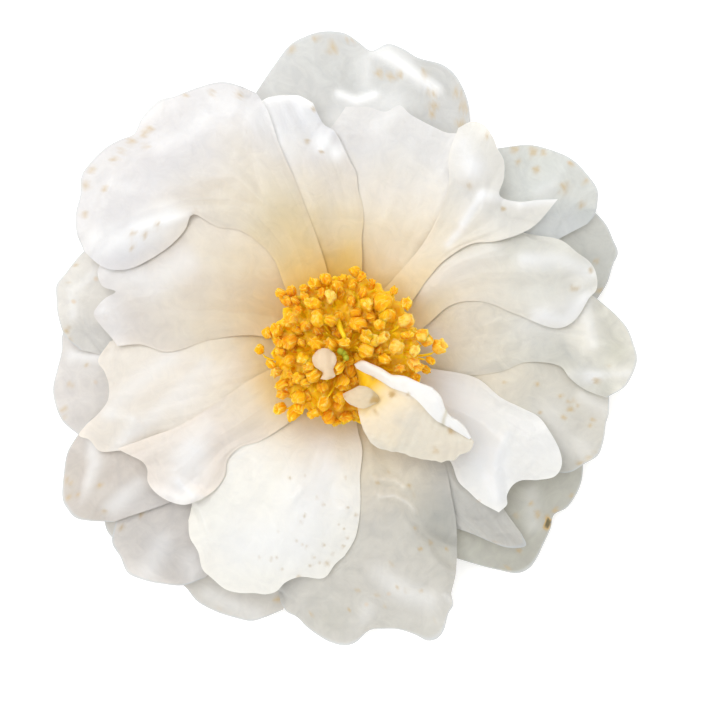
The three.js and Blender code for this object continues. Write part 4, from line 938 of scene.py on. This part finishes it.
# what the other petaloids cover, so that no head pokes through them
petaloidCover = [
    (0.7, -2.2), (4.5, -1.9), (9.5, -4.2), (14.5, -6.5), (16.5, -10), (20.5, -14.5), (18.5, -19),
    (5.8, -16.8), (1.2, -12.2), (1.0, -7.5),
]


def hollowShare(turn):
    away = np.abs(np.degrees(turn) - brush["hollowAngle"]) / brush["hollowHalfAngle"]
    return np.where(away < 1, np.cos(np.minimum(away, 1) * math.pi / 2) ** 0.6, 0)


def brushTop(x, y):
    # height of the anthers' bowl at this place
    far = math.hypot(x, y)
    depth = brush["top"] - brush["bottom"]
    hollow = float(hollowShare(np.array(math.atan2(y, x)))) * min(1, far / 3)
    reach = far / (brush["radius"] * (1 - brush["hollowPull"] * hollow))
    share = np.interp(reach, *zip(*brush["bowl"]))
    return brush["bottom"] + depth * share * (1 - brush["hollowDepth"] * hollow)


def insideLine(x, y, corners):
    inside = False
    for (ax, ay), (bx, by) in zip(corners, corners[1:] + corners[:1]):
        if (ay > y) != (by > y) and x < ax + (y - ay) * (bx - ax) / (by - ay):
            inside = not inside
    return inside


def antherModel(chance, lobes, cupped):
    # one unit long, with ribs or two lobes; a cupped one has its open tip pressed in
    piece, ring, turn = ballModel(brush["antherSegments"], brush["antherRings"])
    share = ring / brush["antherRings"]
    phase = chance.uniform(0, math.pi)
    stations = [0, 0.125, 0.25, 0.5, 0.75, 0.875, 1]
    if cupped:
        body = np.interp(share, stations, [0, 0.42, 0.7, 0.95, 1, 0.84, 0])
        along = np.interp(share, [0, 0.25, 0.5, 0.75, 0.875, 1], [0, 0.2, 0.5, 0.84, 0.97, 0.74])
    else:
        body = np.interp(share, stations, [0, 0.5, 0.84, 1, 0.82, 0.52, 0])
        along = np.interp(share, [0, 0.25, 0.5, 0.75, 1], [0, 0.18, 0.5, 0.82, 1])
    crest = np.abs(np.cos(0.5 * lobes * turn))
    depth = 0.5 if lobes == 2 else 0.32
    uneven = np.array([noise.noise(Vector((2 * math.cos(t), 2 * math.sin(t), 4 * s + 9 * phase)))
                       for t, s in zip(turn, share)])
    radius = (0.54 if lobes == 2 else 0.47) * body * (1 - depth + depth * crest) * (1 + 0.3 * uneven)
    # the grooves between the ribs are marked for painted shade, and the lips at the open tip, below 0, for a
    # painted highlight
    grooveShade = np.clip(1.3 * (1 - crest) - 0.2, 0, 1)
    grooveShade = np.where((ring == brush["antherRings"] - 1) & (crest > 0.5), -0.5, grooveShade)
    grooveShade = np.where((ring == 0) | (ring == brush["antherRings"]), 1.0, grooveShade)
    twist = turn + phase + chance.uniform(-0.8, 0.8) * share
    bend = chance.uniform(0.05, 0.22) * np.sin(math.pi * share)
    squash = chance.uniform(0.7, 0.95)
    writePoints(piece, np.stack([
        radius * np.cos(twist) + bend, radius * squash * np.sin(twist), along + 0.06 * uneven], axis=1))
    paint(piece, "grooveShade", grooveShade)
    return piece


def headPlaces():
    # the heads that stand out, and lower ones that fill the brush between them
    chance = random.Random(brush["seed"])
    heads = [dict(x=x, y=y, size=size, z=brushTop(x, y) - low, pale=pale, lean=lean)
             for x, y, size, low, pale, lean in standingHeads]
    tries = 0
    while len(heads) < len(standingHeads) + brush["fill"] and tries < brush["fillTries"]:
        tries += 1
        far, turn = brush["fillRadius"] * math.sqrt(chance.random()), chance.uniform(0, 2 * math.pi)
        x, y = far * math.cos(turn), far * math.sin(turn)
        near = min(math.hypot(x - head["x"], y - head["y"]) for head in heads)
        tooNear = near < brush["spacing"] * (brush["sparser"] if x > brush["sparserFrom"] else 1)
        if tooNear or insideLine(x, y, petaloidCover):
            continue
        if any(math.hypot(x - midX, y - midY) < clear for midX, midY, clear in clearSpots):
            continue
        size, low = chance.uniform(*brush["fillSize"]), chance.uniform(*brush["fillBelow"])
        heads.append(dict(x=x, y=y, size=size, z=brushTop(x, y) - low,
                          pale=chance.uniform(*brush["fillPale"]), lean=chance.uniform(*brush["fillLean"])))
    return heads


def headTurn(head, chance):
    # leaning outwards, more so at the brush's edge
    turn = math.atan2(head["y"], head["x"]) + chance.gauss(0, 0.5)
    lean = math.radians(brush["leanShare"] * head["lean"])
    along = Vector((math.sin(lean) * math.cos(turn), math.sin(lean) * math.sin(turn), math.cos(lean)))
    return along, along.to_track_quat("Z", "X") @ Quaternion((0, 0, 1), chance.uniform(0, 2 * math.pi))


def filamentPoints(start, end, along, ring, turn, thick):
    # a stem that leaves the tube upwards and reaches its anther along the anther's own axis
    rings = brush["filamentRings"]
    rise = (end - start).length
    a, b = start + Vector((0, 0, 0.45 * rise)), end - along * 0.35 * rise
    t = np.linspace(0, 1, rings + 1)[:, None]
    p0, p1, p2, p3 = (np.array(p) for p in (start, a, b, end))
    path = (1 - t) ** 3 * p0 + 3 * (1 - t) ** 2 * t * p1 + 3 * (1 - t) * t ** 2 * p2 + t ** 3 * p3
    ahead = np.gradient(path, axis=0)
    ahead /= np.linalg.norm(ahead, axis=1)[:, None]
    side = np.cross(ahead, (0.31, 0.95, 0.07))
    side /= np.linalg.norm(side, axis=1)[:, None]
    other = np.cross(ahead, side)
    radius = thick * (1 - 0.3 * t[:, 0])
    radius[0] = radius[-1] = 0
    around = np.cos(turn)[:, None] * side[ring] + np.sin(turn)[:, None] * other[ring]
    return path[ring] + radius[ring][:, None] * around


def antherMaterial():
    material, tree, shader = newMaterial("antherGold", 0.7, 0.6, (1.0, 0.6, 0.15), 1.3 * mm, specular=0.2)
    coords = addNode(tree, "ShaderNodeTexCoord").outputs
    pale, grooveShade = painted(tree, "pale"), painted(tree, "grooveShade")
    cloud = noiseOn(tree, coords["Object"], 1300.0, 3.0, 0.6)
    drift = calculate(tree, "SUBTRACT", cloud, 0.5)
    # paler lips are a painted highlight, darker grooves a painted shade
    lipHighlight = calculate(tree, "MULTIPLY", calculate(tree, "MINIMUM", grooveShade, 0.0), -1.0)
    # a head's paleness picks its colour from amber in shade through gold to pale; this is partly its own
    # colour and partly painted light and shade
    shade = calculate(tree, "ADD", calculate(tree, "ADD", pale, drift), lipHighlight)
    base = ramp(tree, shade, [(0.0, brush["amberInShade"]), (0.35, brush["gold"]), (0.7, brush["gold"]),
                              (1.0, brush["pale"])])
    base = mixColor(tree, remap(tree, cloud, 0.58, 0.72, 0.4), base, brush["tan"])
    inGroove = calculate(tree, "MULTIPLY", grooveShade, 0.5, clamp=True)
    base = mixColor(tree, inGroove, base, brush["grooveShade"], "MULTIPLY")
    # the curled walls of the spent pollen sacs run from end to end, and differ from head to head; their
    # crests are painted paler, a painted highlight, and their troughs darker, a painted shade, over their
    # bump
    endToEnd = mapped(tree, coords["UV"], (13, 2.2, 0))
    headToHead = mapped(tree, coords["Object"], (260, 260, 260))
    spread = addNode(tree, "ShaderNodeVectorMath", {0: endToEnd, 1: headToHead}, operation="ADD")
    walls = noiseOn(tree, spread.outputs[0], 1.0, 3.0, 0.55, 0.8)
    base = mixColor(tree, remap(tree, walls, 0.52, 0.66, 0.8), base, brush["pale"])
    base = mixColor(tree, remap(tree, walls, 0.48, 0.36, 0.9), base, brush["grooveShade"], "MULTIPLY")
    tree.links.new(base, shader.inputs["Base Color"])
    addBump(tree, shader, walls, 0.7, 0.4 * mm)
    return material


def filamentMaterial():
    # darker and deeper in colour below, a painted shade where the stems stand close
    material, tree, shader = newMaterial("filamentAmber", 0.45, 0.6, (1.0, 0.6, 0.1), 1.6 * mm)
    coords = addNode(tree, "ShaderNodeTexCoord").outputs
    cloud = noiseOn(tree, coords["Object"], 350.0, 3.0)
    drift = calculate(tree, "MULTIPLY", calculate(tree, "SUBTRACT", cloud, 0.5), 6 * mm)
    height = calculate(tree, "ADD", partOf(tree, coords["Object"], "Z"), drift)
    raised = remap(tree, height, 19 * mm, 27 * mm)
    tree.links.new(ramp(tree, raised, [(0, brush["stalkInShade"]), (1, brush["stalk"])]),
                   shader.inputs["Base Color"])
    addBump(tree, shader, noiseOn(tree, coords["Object"], 3000.0), 0.3, 0.05 * mm)
    return material


def makeStem(model, start, end, along, thick):
    shape, ring, turn = model
    stem = copyOf(shape)
    writePoints(stem, place(filamentPoints(start, end, along, ring, turn, thick)))
    return stem


def makeStamen(head, antherModels, stemModel, chance):
    # an anther and the filament that carries it
    along, turned = headTurn(head, chance)
    length = brush["antherLength"] * head["size"]
    foot = Vector((head["x"], head["y"], head["z"])) - along * 0.5 * length
    anther = copyOf(chance.choice(antherModels))
    # the heads are painted paler towards the right, a painted light falling from that side
    pale = head["pale"] + brush["paintedLightToRight"] * head["x"]
    paint(anther, "pale", np.full(len(anther.data.vertices), pale))
    width = length * chance.uniform(0.9, 1.1)
    origin = Vector((axisX, axisY, seatZ)) / mm
    size = Vector((width, width, length)) * mm
    anther.matrix_world = Matrix.LocRotScale((foot + origin) * mm, turned, size)
    far, turn = math.hypot(foot.x, foot.y), math.atan2(foot.y, foot.x)
    base = brush["tubeRadius"] * (0.35 + 0.65 * min(1, far / brush["radius"]))
    start = Vector((base * math.cos(turn), base * math.sin(turn), brush["tubeTop"] - 0.4))
    thick = brush["filamentRadius"] * chance.uniform(0.85, 1.25)
    return anther, makeStem(stemModel, start, foot + along * 0.15 * length, along, thick)


def makeBrush():
    chance = random.Random(brush["seed"] + 1)
    antherModels = [antherModel(chance, *kind) for kind in zip(brush["lobes"], brush["cupped"])]
    stemModel = ballModel(brush["filamentSides"], brush["filamentRings"])
    stamens = [makeStamen(head, antherModels, stemModel, chance) for head in headPlaces()]
    bent = makeStem(stemModel, Vector(brush["bentFrom"]), Vector(brush["bentTo"]),
                    Vector(brush["bentAlong"]).normalized(), brush["bentRadius"])
    for model in antherModels + [stemModel[0]]:
        drop(model)
    heads = joinAll([anther for anther, stem in stamens], "antherHeads")
    smoothBy(heads, 60)
    finishPiece(heads, "antherHeads", antherMaterial(), ["anther_mass"])
    amber = filamentMaterial()
    stems = joinAll([stem for anther, stem in stamens] + [bent], "filamentStems")
    smoothBy(stems, 80)
    finishPiece(stems, "filamentStems", amber, [])
    makeBundle(bundleLook, amber)
    print("stamens made:", len(stamens))


bundleLook = {
    "profile": [(0, 13.9), (5.3, 13.9), (5.5, 15.5), (5.9, 17.4), (7.4, 19.6), (9.8, 21.6), (12.2, 23.2),
                (12.1, 24.0), (9, 24.4), (5, 24.1), (2, 23.2), (0, 22.8)],
    "segments": 128, "rings": 64, "ridge": 0.035, "ridges": 30, "hollow": 0.5,
    "unevenFrom": 19, "uneven": 0.9, "unevenSize": (0.9, 0.9), "lower": 0.4, "toLeft": 0.7,
}


def makeBundle(look, material):
    # the filaments that stand close together, with an uneven top
    bundle = turnedPiece(look["profile"], look["segments"], look["rings"], look["ridge"], look["ridges"],
                         look["hollow"])
    points = readPoints(bundle)
    upper = np.clip((points[:, 2] - seatZ) / mm - look["unevenFrom"], 0, 1)
    uneven = look["uneven"] * bumps(points[:, :2] / mm, look["unevenSize"], 6) - look["lower"]
    points[:, 2] += upper * mm * uneven
    points[:, 0] -= look["toLeft"] * mm * upper
    writePoints(bundle, points)
    smoothBy(bundle, 70)
    finishPiece(bundle, "filamentBundle", material, ["stamen_tube"])


makeBrush()


# Petaloids

foldedPetaloid = {
    "along": 80, "across": 64, "thickness": 0.34, "rimThickness": 0.6,
    "tintAndShade": (0.69, 0.658, 0.585), "throatStainAndShade": 1.4, "stainAndShadeTo": 19.5,
    "crest": [(0.75, -2.45, 24.6), (2, -1.85, 25.6), (3.6, -2.45, 26.6), (5.3, -3.2, 27.4), (7, -4.25, 28),
              (8.4, -4.35, 28.2), (9.5, -4.6, 28.3), (11.7, -5.6, 28.3), (13.7, -6.4, 28.1),
              (15.1, -7.8, 27.6), (15.9, -9.8, 26.6), (16.8, -11.2, 25.8), (17.9, -11.8, 25.2),
              (19.4, -13.2, 24.2), (20.3, -14.8, 23)],
    "freeEdge": [(1.2, -3.1, 24.5), (2.7, -3.9, 25.4), (3.85, -4.4, 26.1), (5.8, -5.55, 26.8),
                 (7.2, -6.4, 27.2), (9.5, -7.2, 27.5), (10.9, -8.1, 27.5), (12.3, -9.5, 27.2),
                 (13.4, -10.8, 26.7), (14.6, -11.9, 26), (15.8, -12.5, 25.3), (17.9, -13.7, 24.3),
                 (20.1, -15, 23.1)],
    "lowEdge": [(1.2, -3.4, 23), (1.7, -6, 23.4), (1.4, -9.4, 23.2), (1.8, -11.6, 22.8), (2.7, -14.2, 21.8),
                (4.4, -16.3, 20.9), (8.1, -17.2, 20.2), (12, -18.3, 19.9), (16.7, -18.8, 20.1),
                (18.5, -17.8, 20.7), (20.2, -16.8, 21.6), (20.9, -15.5, 22.6)],
    "stains": [(7.2, -7.4, 0.9, 0.9), (4.4, -10.4, 0.7), (17, -13.6, 0.8), (14.6, -16.7, 0.8),
               (3.9, -4.6, 0.5), (9.8, -7.3, 0.5)],
    "crease": [(16.2, -10.2), (15.8, -11.4), (15.6, -12.6)], "creaseWidth": 0.35, "creaseShade": 0.9,
    "lowEdgeWaves": 0.22, "frill": 0.16, "uneven": 0.12, "rolledFrom": 0.62, "rolledHighlight": 0.8,
}


def makeFoldedPetaloid(look):
    # each section runs from the low edge up to the crest, round it and down to the free edge
    rows = look["along"] + 1
    crest, edge, low = (smoothLine(look[key], look["along"]) for key in ("crest", "freeEdge", "lowEdge"))
    low[:, 1] += look["lowEdgeWaves"] * bumps(low[:, :2], (1.3, 1.3), 12)
    grid = np.empty((look["across"] + 1, rows, 3))
    for k in range(rows):
        inward = edge[k] - crest[k]
        down = np.array((0, 0, 1.0)) * min(1, 0.35 + 0.05 * k)
        middle = 0.5 * (low[k] + crest[k]) + (0, 0, 0.7 * math.sin(math.pi * k / rows))
        section = [low[k], middle, crest[k] + 0.3 * inward - 1.3 * down, crest[k] - 0.7 * down,
                   crest[k] + 0.3 * inward + 0.15 * down, edge[k] - 0.1 * down]
        grid[:, k] = smoothLine(section, look["across"])
    u = np.linspace(0, 1, look["across"] + 1)[:, None]
    spread = np.stack([np.linspace(0, 1, rows) * np.ones_like(u), u * np.ones(rows)], axis=-1)
    frill = look["frill"] * (1 - u) * bumps(spread, (0.035, 1.2), 4)
    grid[..., 2] += frill + look["uneven"] * bumps(grid[..., :2], (1.6, 1.6), 7)
    piece, row, column = petalSheet(grid[..., :2], grid[..., 2])
    paint(piece, "stain", stainAmount(look["stains"], grid[..., :2])[row, column])
    # the rolled part is painted paler, a painted highlight, but for its crease, which is painted darker, a
    # painted shade
    rollShading = look["rolledHighlight"] * np.clip((u - look["rolledFrom"]) / 0.1, 0, 1) * np.ones(rows)
    creased = lineDistance(grid[..., :2], look["crease"])
    rollShading -= look["creaseShade"] * np.exp(-(creased / look["creaseWidth"]) ** 2)
    paint(piece, "paintedShading", rollShading[row, column])
    thicken(piece, row, column, grid.shape, look["thickness"], look["rimThickness"])
    cream = petalMaterial("petaloidCream", look["tintAndShade"], look["throatStainAndShade"], look["stainAndShadeTo"])
    finishPiece(piece, "foldedPetaloid", cream, ["folded_petaloid"])


smallPetaloids = [
    {"name": "smallPetaloidLeft", "node": "small_petaloid_1", "tintAndShade": (0.75, 0.59, 0.42),
     "height": 27.5, "dome": 0.9, "slope": 0.0,
     "foot": [(-4.9, -4.9), (-3.7, -4.9), (-2.4, -4.4)],
     "sideA": [(-4.9, -4.9), (-4.5, -3.8), (-5.9, -2.7), (-6.3, -1.5), (-5.8, -0.4)],
     "sideB": [(-2.4, -4.4), (-2.8, -3.2), (-2.3, -2.0), (-2.4, -1.0), (-3.2, -0.1)],
     "rim": [(-5.8, -0.4), (-4.8, 0.2), (-3.9, 0.2), (-3.2, -0.1)],
     "stains": [(-3.2, -4.6, 0.6), (-4.6, -4.0, 0.5)]},
    {"name": "smallPetaloidLow", "node": "small_petaloid_2", "tintAndShade": (0.68, 0.57, 0.41),
     "height": 24.8, "dome": 0.7, "slope": 0.28,
     "foot": [(-1.2, -7.4), (-0.8, -8.3), (0.4, -9.3)],
     "sideA": [(-1.2, -7.4), (0.3, -6.7), (1.6, -6.0)],
     "sideB": [(0.4, -9.3), (2.2, -9.8), (3.8, -9.2)],
     "rim": [(1.6, -6.0), (3.2, -6.4), (4.9, -7.9), (4.9, -8.6), (3.8, -9.2)],
     "stains": [(4.4, -8.3, 1.7, 1.0), (-0.9, -7.9, 0.4)]},
]


def makeSmallPetaloid(look, steps=28):
    # a small sheet between four lines, raised in the middle and sloping up to the right
    plan = patch(*(smoothLine(look[key], steps) for key in ("foot", "sideA", "sideB", "rim")))
    u = np.linspace(-1, 1, steps + 1)[:, None] * np.ones(steps + 1)
    toEdge = np.clip(np.hypot(u, u.T) / 1.25, 0, 1)
    height = look["height"] + look["slope"] * plan[..., 0] + look["dome"] * (1 - toEdge ** 2)
    height = height + 0.12 * bumps(plan, (0.9, 0.9), 5)
    piece, row, column = petalSheet(plan, height)
    paint(piece, "stain", stainAmount(look["stains"], plan)[row, column])
    thicken(piece, row, column, height.shape, 0.3, 0.6)
    cream = petalMaterial(look["name"], look["tintAndShade"], 0.0)
    finishPiece(piece, look["name"], cream, [look["node"]])


makeFoldedPetaloid(foldedPetaloid)
for petaloid in smallPetaloids:
    makeSmallPetaloid(petaloid)
print("petaloids made:", 1 + len(smallPetaloids))


# Pistil, calyx and receptacle

pistilLook = {
    "sides": 10, "foot": (-1.1, -0.7, 23.8), "footRadius": 0.42, "spread": (1.6, 1.6, 1.0),
    "lobes": [((-1.7, -0.1, 28.3), 0.72), ((-0.5, -1.5, 28.1), 0.62), ((-1.0, -0.5, 27.9), 0.6)],
    "colors": [(0.24, 0.25, 0.004), (0.36, 0.36, 0.01), (0.48, 0.46, 0.03)],
}


def makePistil(look):
    # a short style that splits into three blunt lobes
    model, ring, turn = ballModel(look["sides"], look["sides"])
    share = ring / look["sides"]
    start = np.array(look["foot"])
    lobes = []
    for end, thick in look["lobes"]:
        lobe = copyOf(model)
        path = start + (np.array(end) - start) * share[:, None] ** look["spread"]
        width = look["footRadius"] + (thick - look["footRadius"]) * np.clip(share * 2 - 1, 0, 1)
        width = width * np.sqrt(np.clip(1 - (2 * share - 1) ** 6, 0, 1))
        around = np.stack([width * np.cos(turn), width * np.sin(turn), 0 * width], axis=1)
        writePoints(lobe, place(path + around))
        lobes.append(lobe)
    drop(model)
    pistil = joinAll(lobes, "pistilLobes")
    smoothBy(pistil, 80)
    pistilGreen = mottledMaterial("pistilGreen", look["colors"], 900, 0.55, 0.05 * mm, 0.2)
    finishPiece(pistil, "pistilLobes", pistilGreen, ["pistil"])


sepalLook = {
    "count": 6, "firstTier": -0.2, "firstAngle": 20, "length": 11, "halfAngle": 42, "sideLift": -0.2,
    "thickness": 0.6, "rimThickness": 0.5,
    "colors": [(0.20, 0.26, 0.07), (0.34, 0.38, 0.13), (0.50, 0.50, 0.24)], "margin": (0.22, 0.11, 0.04),
}


def makeSepal(look, number, material):
    claw = look["firstAngle"] + number * 360 / look["count"]

    def reach(share):
        return sheet["clawRadius"] + share * look["length"]

    sepal = {
        "tier": look["firstTier"] - number % 2, "claw": claw,
        "cw": [(claw - look["halfAngle"], reach(0.4))], "ccw": [(claw + look["halfAngle"], reach(0.4))],
        "rim": [(claw + k * look["halfAngle"], reach(1 - 0.5 * k * k))
                for k in (-0.75, -0.35, 0, 0.35, 0.75)],
    }
    plan = petalPlan(sepal)
    height = petalBlade(sepal, plan, look["sideLift"]) + petalRelief(sepal, plan, number + 0.5)
    piece, row, column = petalSheet(plan, height)
    thicken(piece, row, column, height.shape, look["thickness"], look["rimThickness"])
    finishPiece(piece, f"sepalBlade{number + 1}", material, [f"sepal_{number + 1}"])


def makeCalyx(look):
    sepalGreen = mottledMaterial("sepalGreen", look["colors"], 260, 0.6, 0.15 * mm, 0.15, sheen=0.3,
                                 margin=look["margin"])
    for number in range(look["count"]):
        makeSepal(look, number, sepalGreen)


receptacleLook = {
    "profile": [(0, 0.35), (1.2, 0.1), (2.2, 0), (2.5, 0.2), (2.6, 1.1), (3.3, 1.5), (5.2, 2.0), (6.0, 2.9),
                (6.2, 4.2), (6.2, 12.4), (5.8, 13.3), (3.0, 13.6), (0, 13.6)],
    "segments": 64, "rings": 48,
    "colors": [(0.24, 0.27, 0.09), (0.38, 0.38, 0.16), (0.48, 0.42, 0.22)],
    "upper": ((0.80, 0.56, 0.20), 4.5, 8.5),
}


def makeReceptacle(look):
    core = turnedPiece(look["profile"], look["segments"], look["rings"])
    smoothBy(core, 40)
    receptacleGreen = mottledMaterial("receptacleGreen", look["colors"], 320, 0.7, 0.2 * mm, 0.2,
                                      upper=look["upper"])
    finishPiece(core, "receptacleCore", receptacleGreen, ["receptacle"])


makePistil(pistilLook)
makeCalyx(sepalLook)
makeReceptacle(receptacleLook)
print("pistil, calyx and receptacle made")


# Stage, light and camera

stageLook = {
    "floorSize": 3.0, "floor": (0.93, 0.93, 0.93, 1), "floorGlow": 0.45,
    "skyStrength": 0.755, "sky": (1.0, 0.995, 0.98, 1),
    "sunStrength": 1.75, "sunAzimuth": 145, "sunElevation": 68, "sunSoftness": 50,
    "viewWidth": 122.4 * mm, "viewCentre": (1.7 * mm, -1.7 * mm), "middleHeight": 14 * mm,
    "cameraDistance": 1.0,
}


def makeStage(look):
    select()
    bpy.ops.mesh.primitive_plane_add(size=look["floorSize"])
    floor = bpy.context.object
    floor.name = "floor"
    material, tree, shader = newMaterial("palePaper", 0.8)
    cloud = noiseOn(tree, addNode(tree, "ShaderNodeTexCoord").outputs["Object"], 6.0)
    paler = tuple(min(1, c * 1.01) for c in look["floor"])
    tree.links.new(ramp(tree, cloud, [(0.3, look["floor"]), (0.7, paler)]), shader.inputs["Base Color"])
    # a sheet lit a little from below, as the photograph has no shadow on its white
    shader.inputs["Emission Color"].default_value = look["floor"]
    shader.inputs["Emission Strength"].default_value = look["floorGlow"]
    floor.data.materials.append(material)


def makeLight(look):
    world = bpy.context.scene.world or bpy.data.worlds.new("sky")
    bpy.context.scene.world = world
    world.use_nodes = True
    sky = world.node_tree.nodes["Background"]
    sky.inputs["Color"].default_value = look["sky"]
    sky.inputs["Strength"].default_value = look["skyStrength"]
    sunData = bpy.data.lights.new("sun", "SUN")
    sunData.energy = look["sunStrength"]
    sunData.angle = math.radians(look["sunSoftness"])
    sun = bpy.data.objects.new("sun", sunData)
    bpy.context.scene.collection.objects.link(sun)
    turn, lift = math.radians(look["sunAzimuth"]), math.radians(look["sunElevation"])
    towards = Vector((math.cos(turn) * math.cos(lift), math.sin(turn) * math.cos(lift), math.sin(lift)))
    sun.rotation_euler = towards.to_track_quat("Z", "Y").to_euler()


def makeCamera(look):
    lens = bpy.data.cameras.new("camera")
    camera = bpy.data.objects.new("camera", lens)
    bpy.context.scene.collection.objects.link(camera)
    lens.lens = lens.sensor_width * look["cameraDistance"] / look["viewWidth"]
    lens.clip_start, lens.clip_end = 0.01, 10
    camera.location = (axisX + look["viewCentre"][0], axisY + look["viewCentre"][1],
                       look["middleHeight"] + look["cameraDistance"])
    bpy.context.scene.camera = camera


makeStage(stageLook)
makeLight(stageLook)
makeCamera(stageLook)
bpy.context.scene.view_settings.view_transform = "Standard"
print("stage, light and camera made")
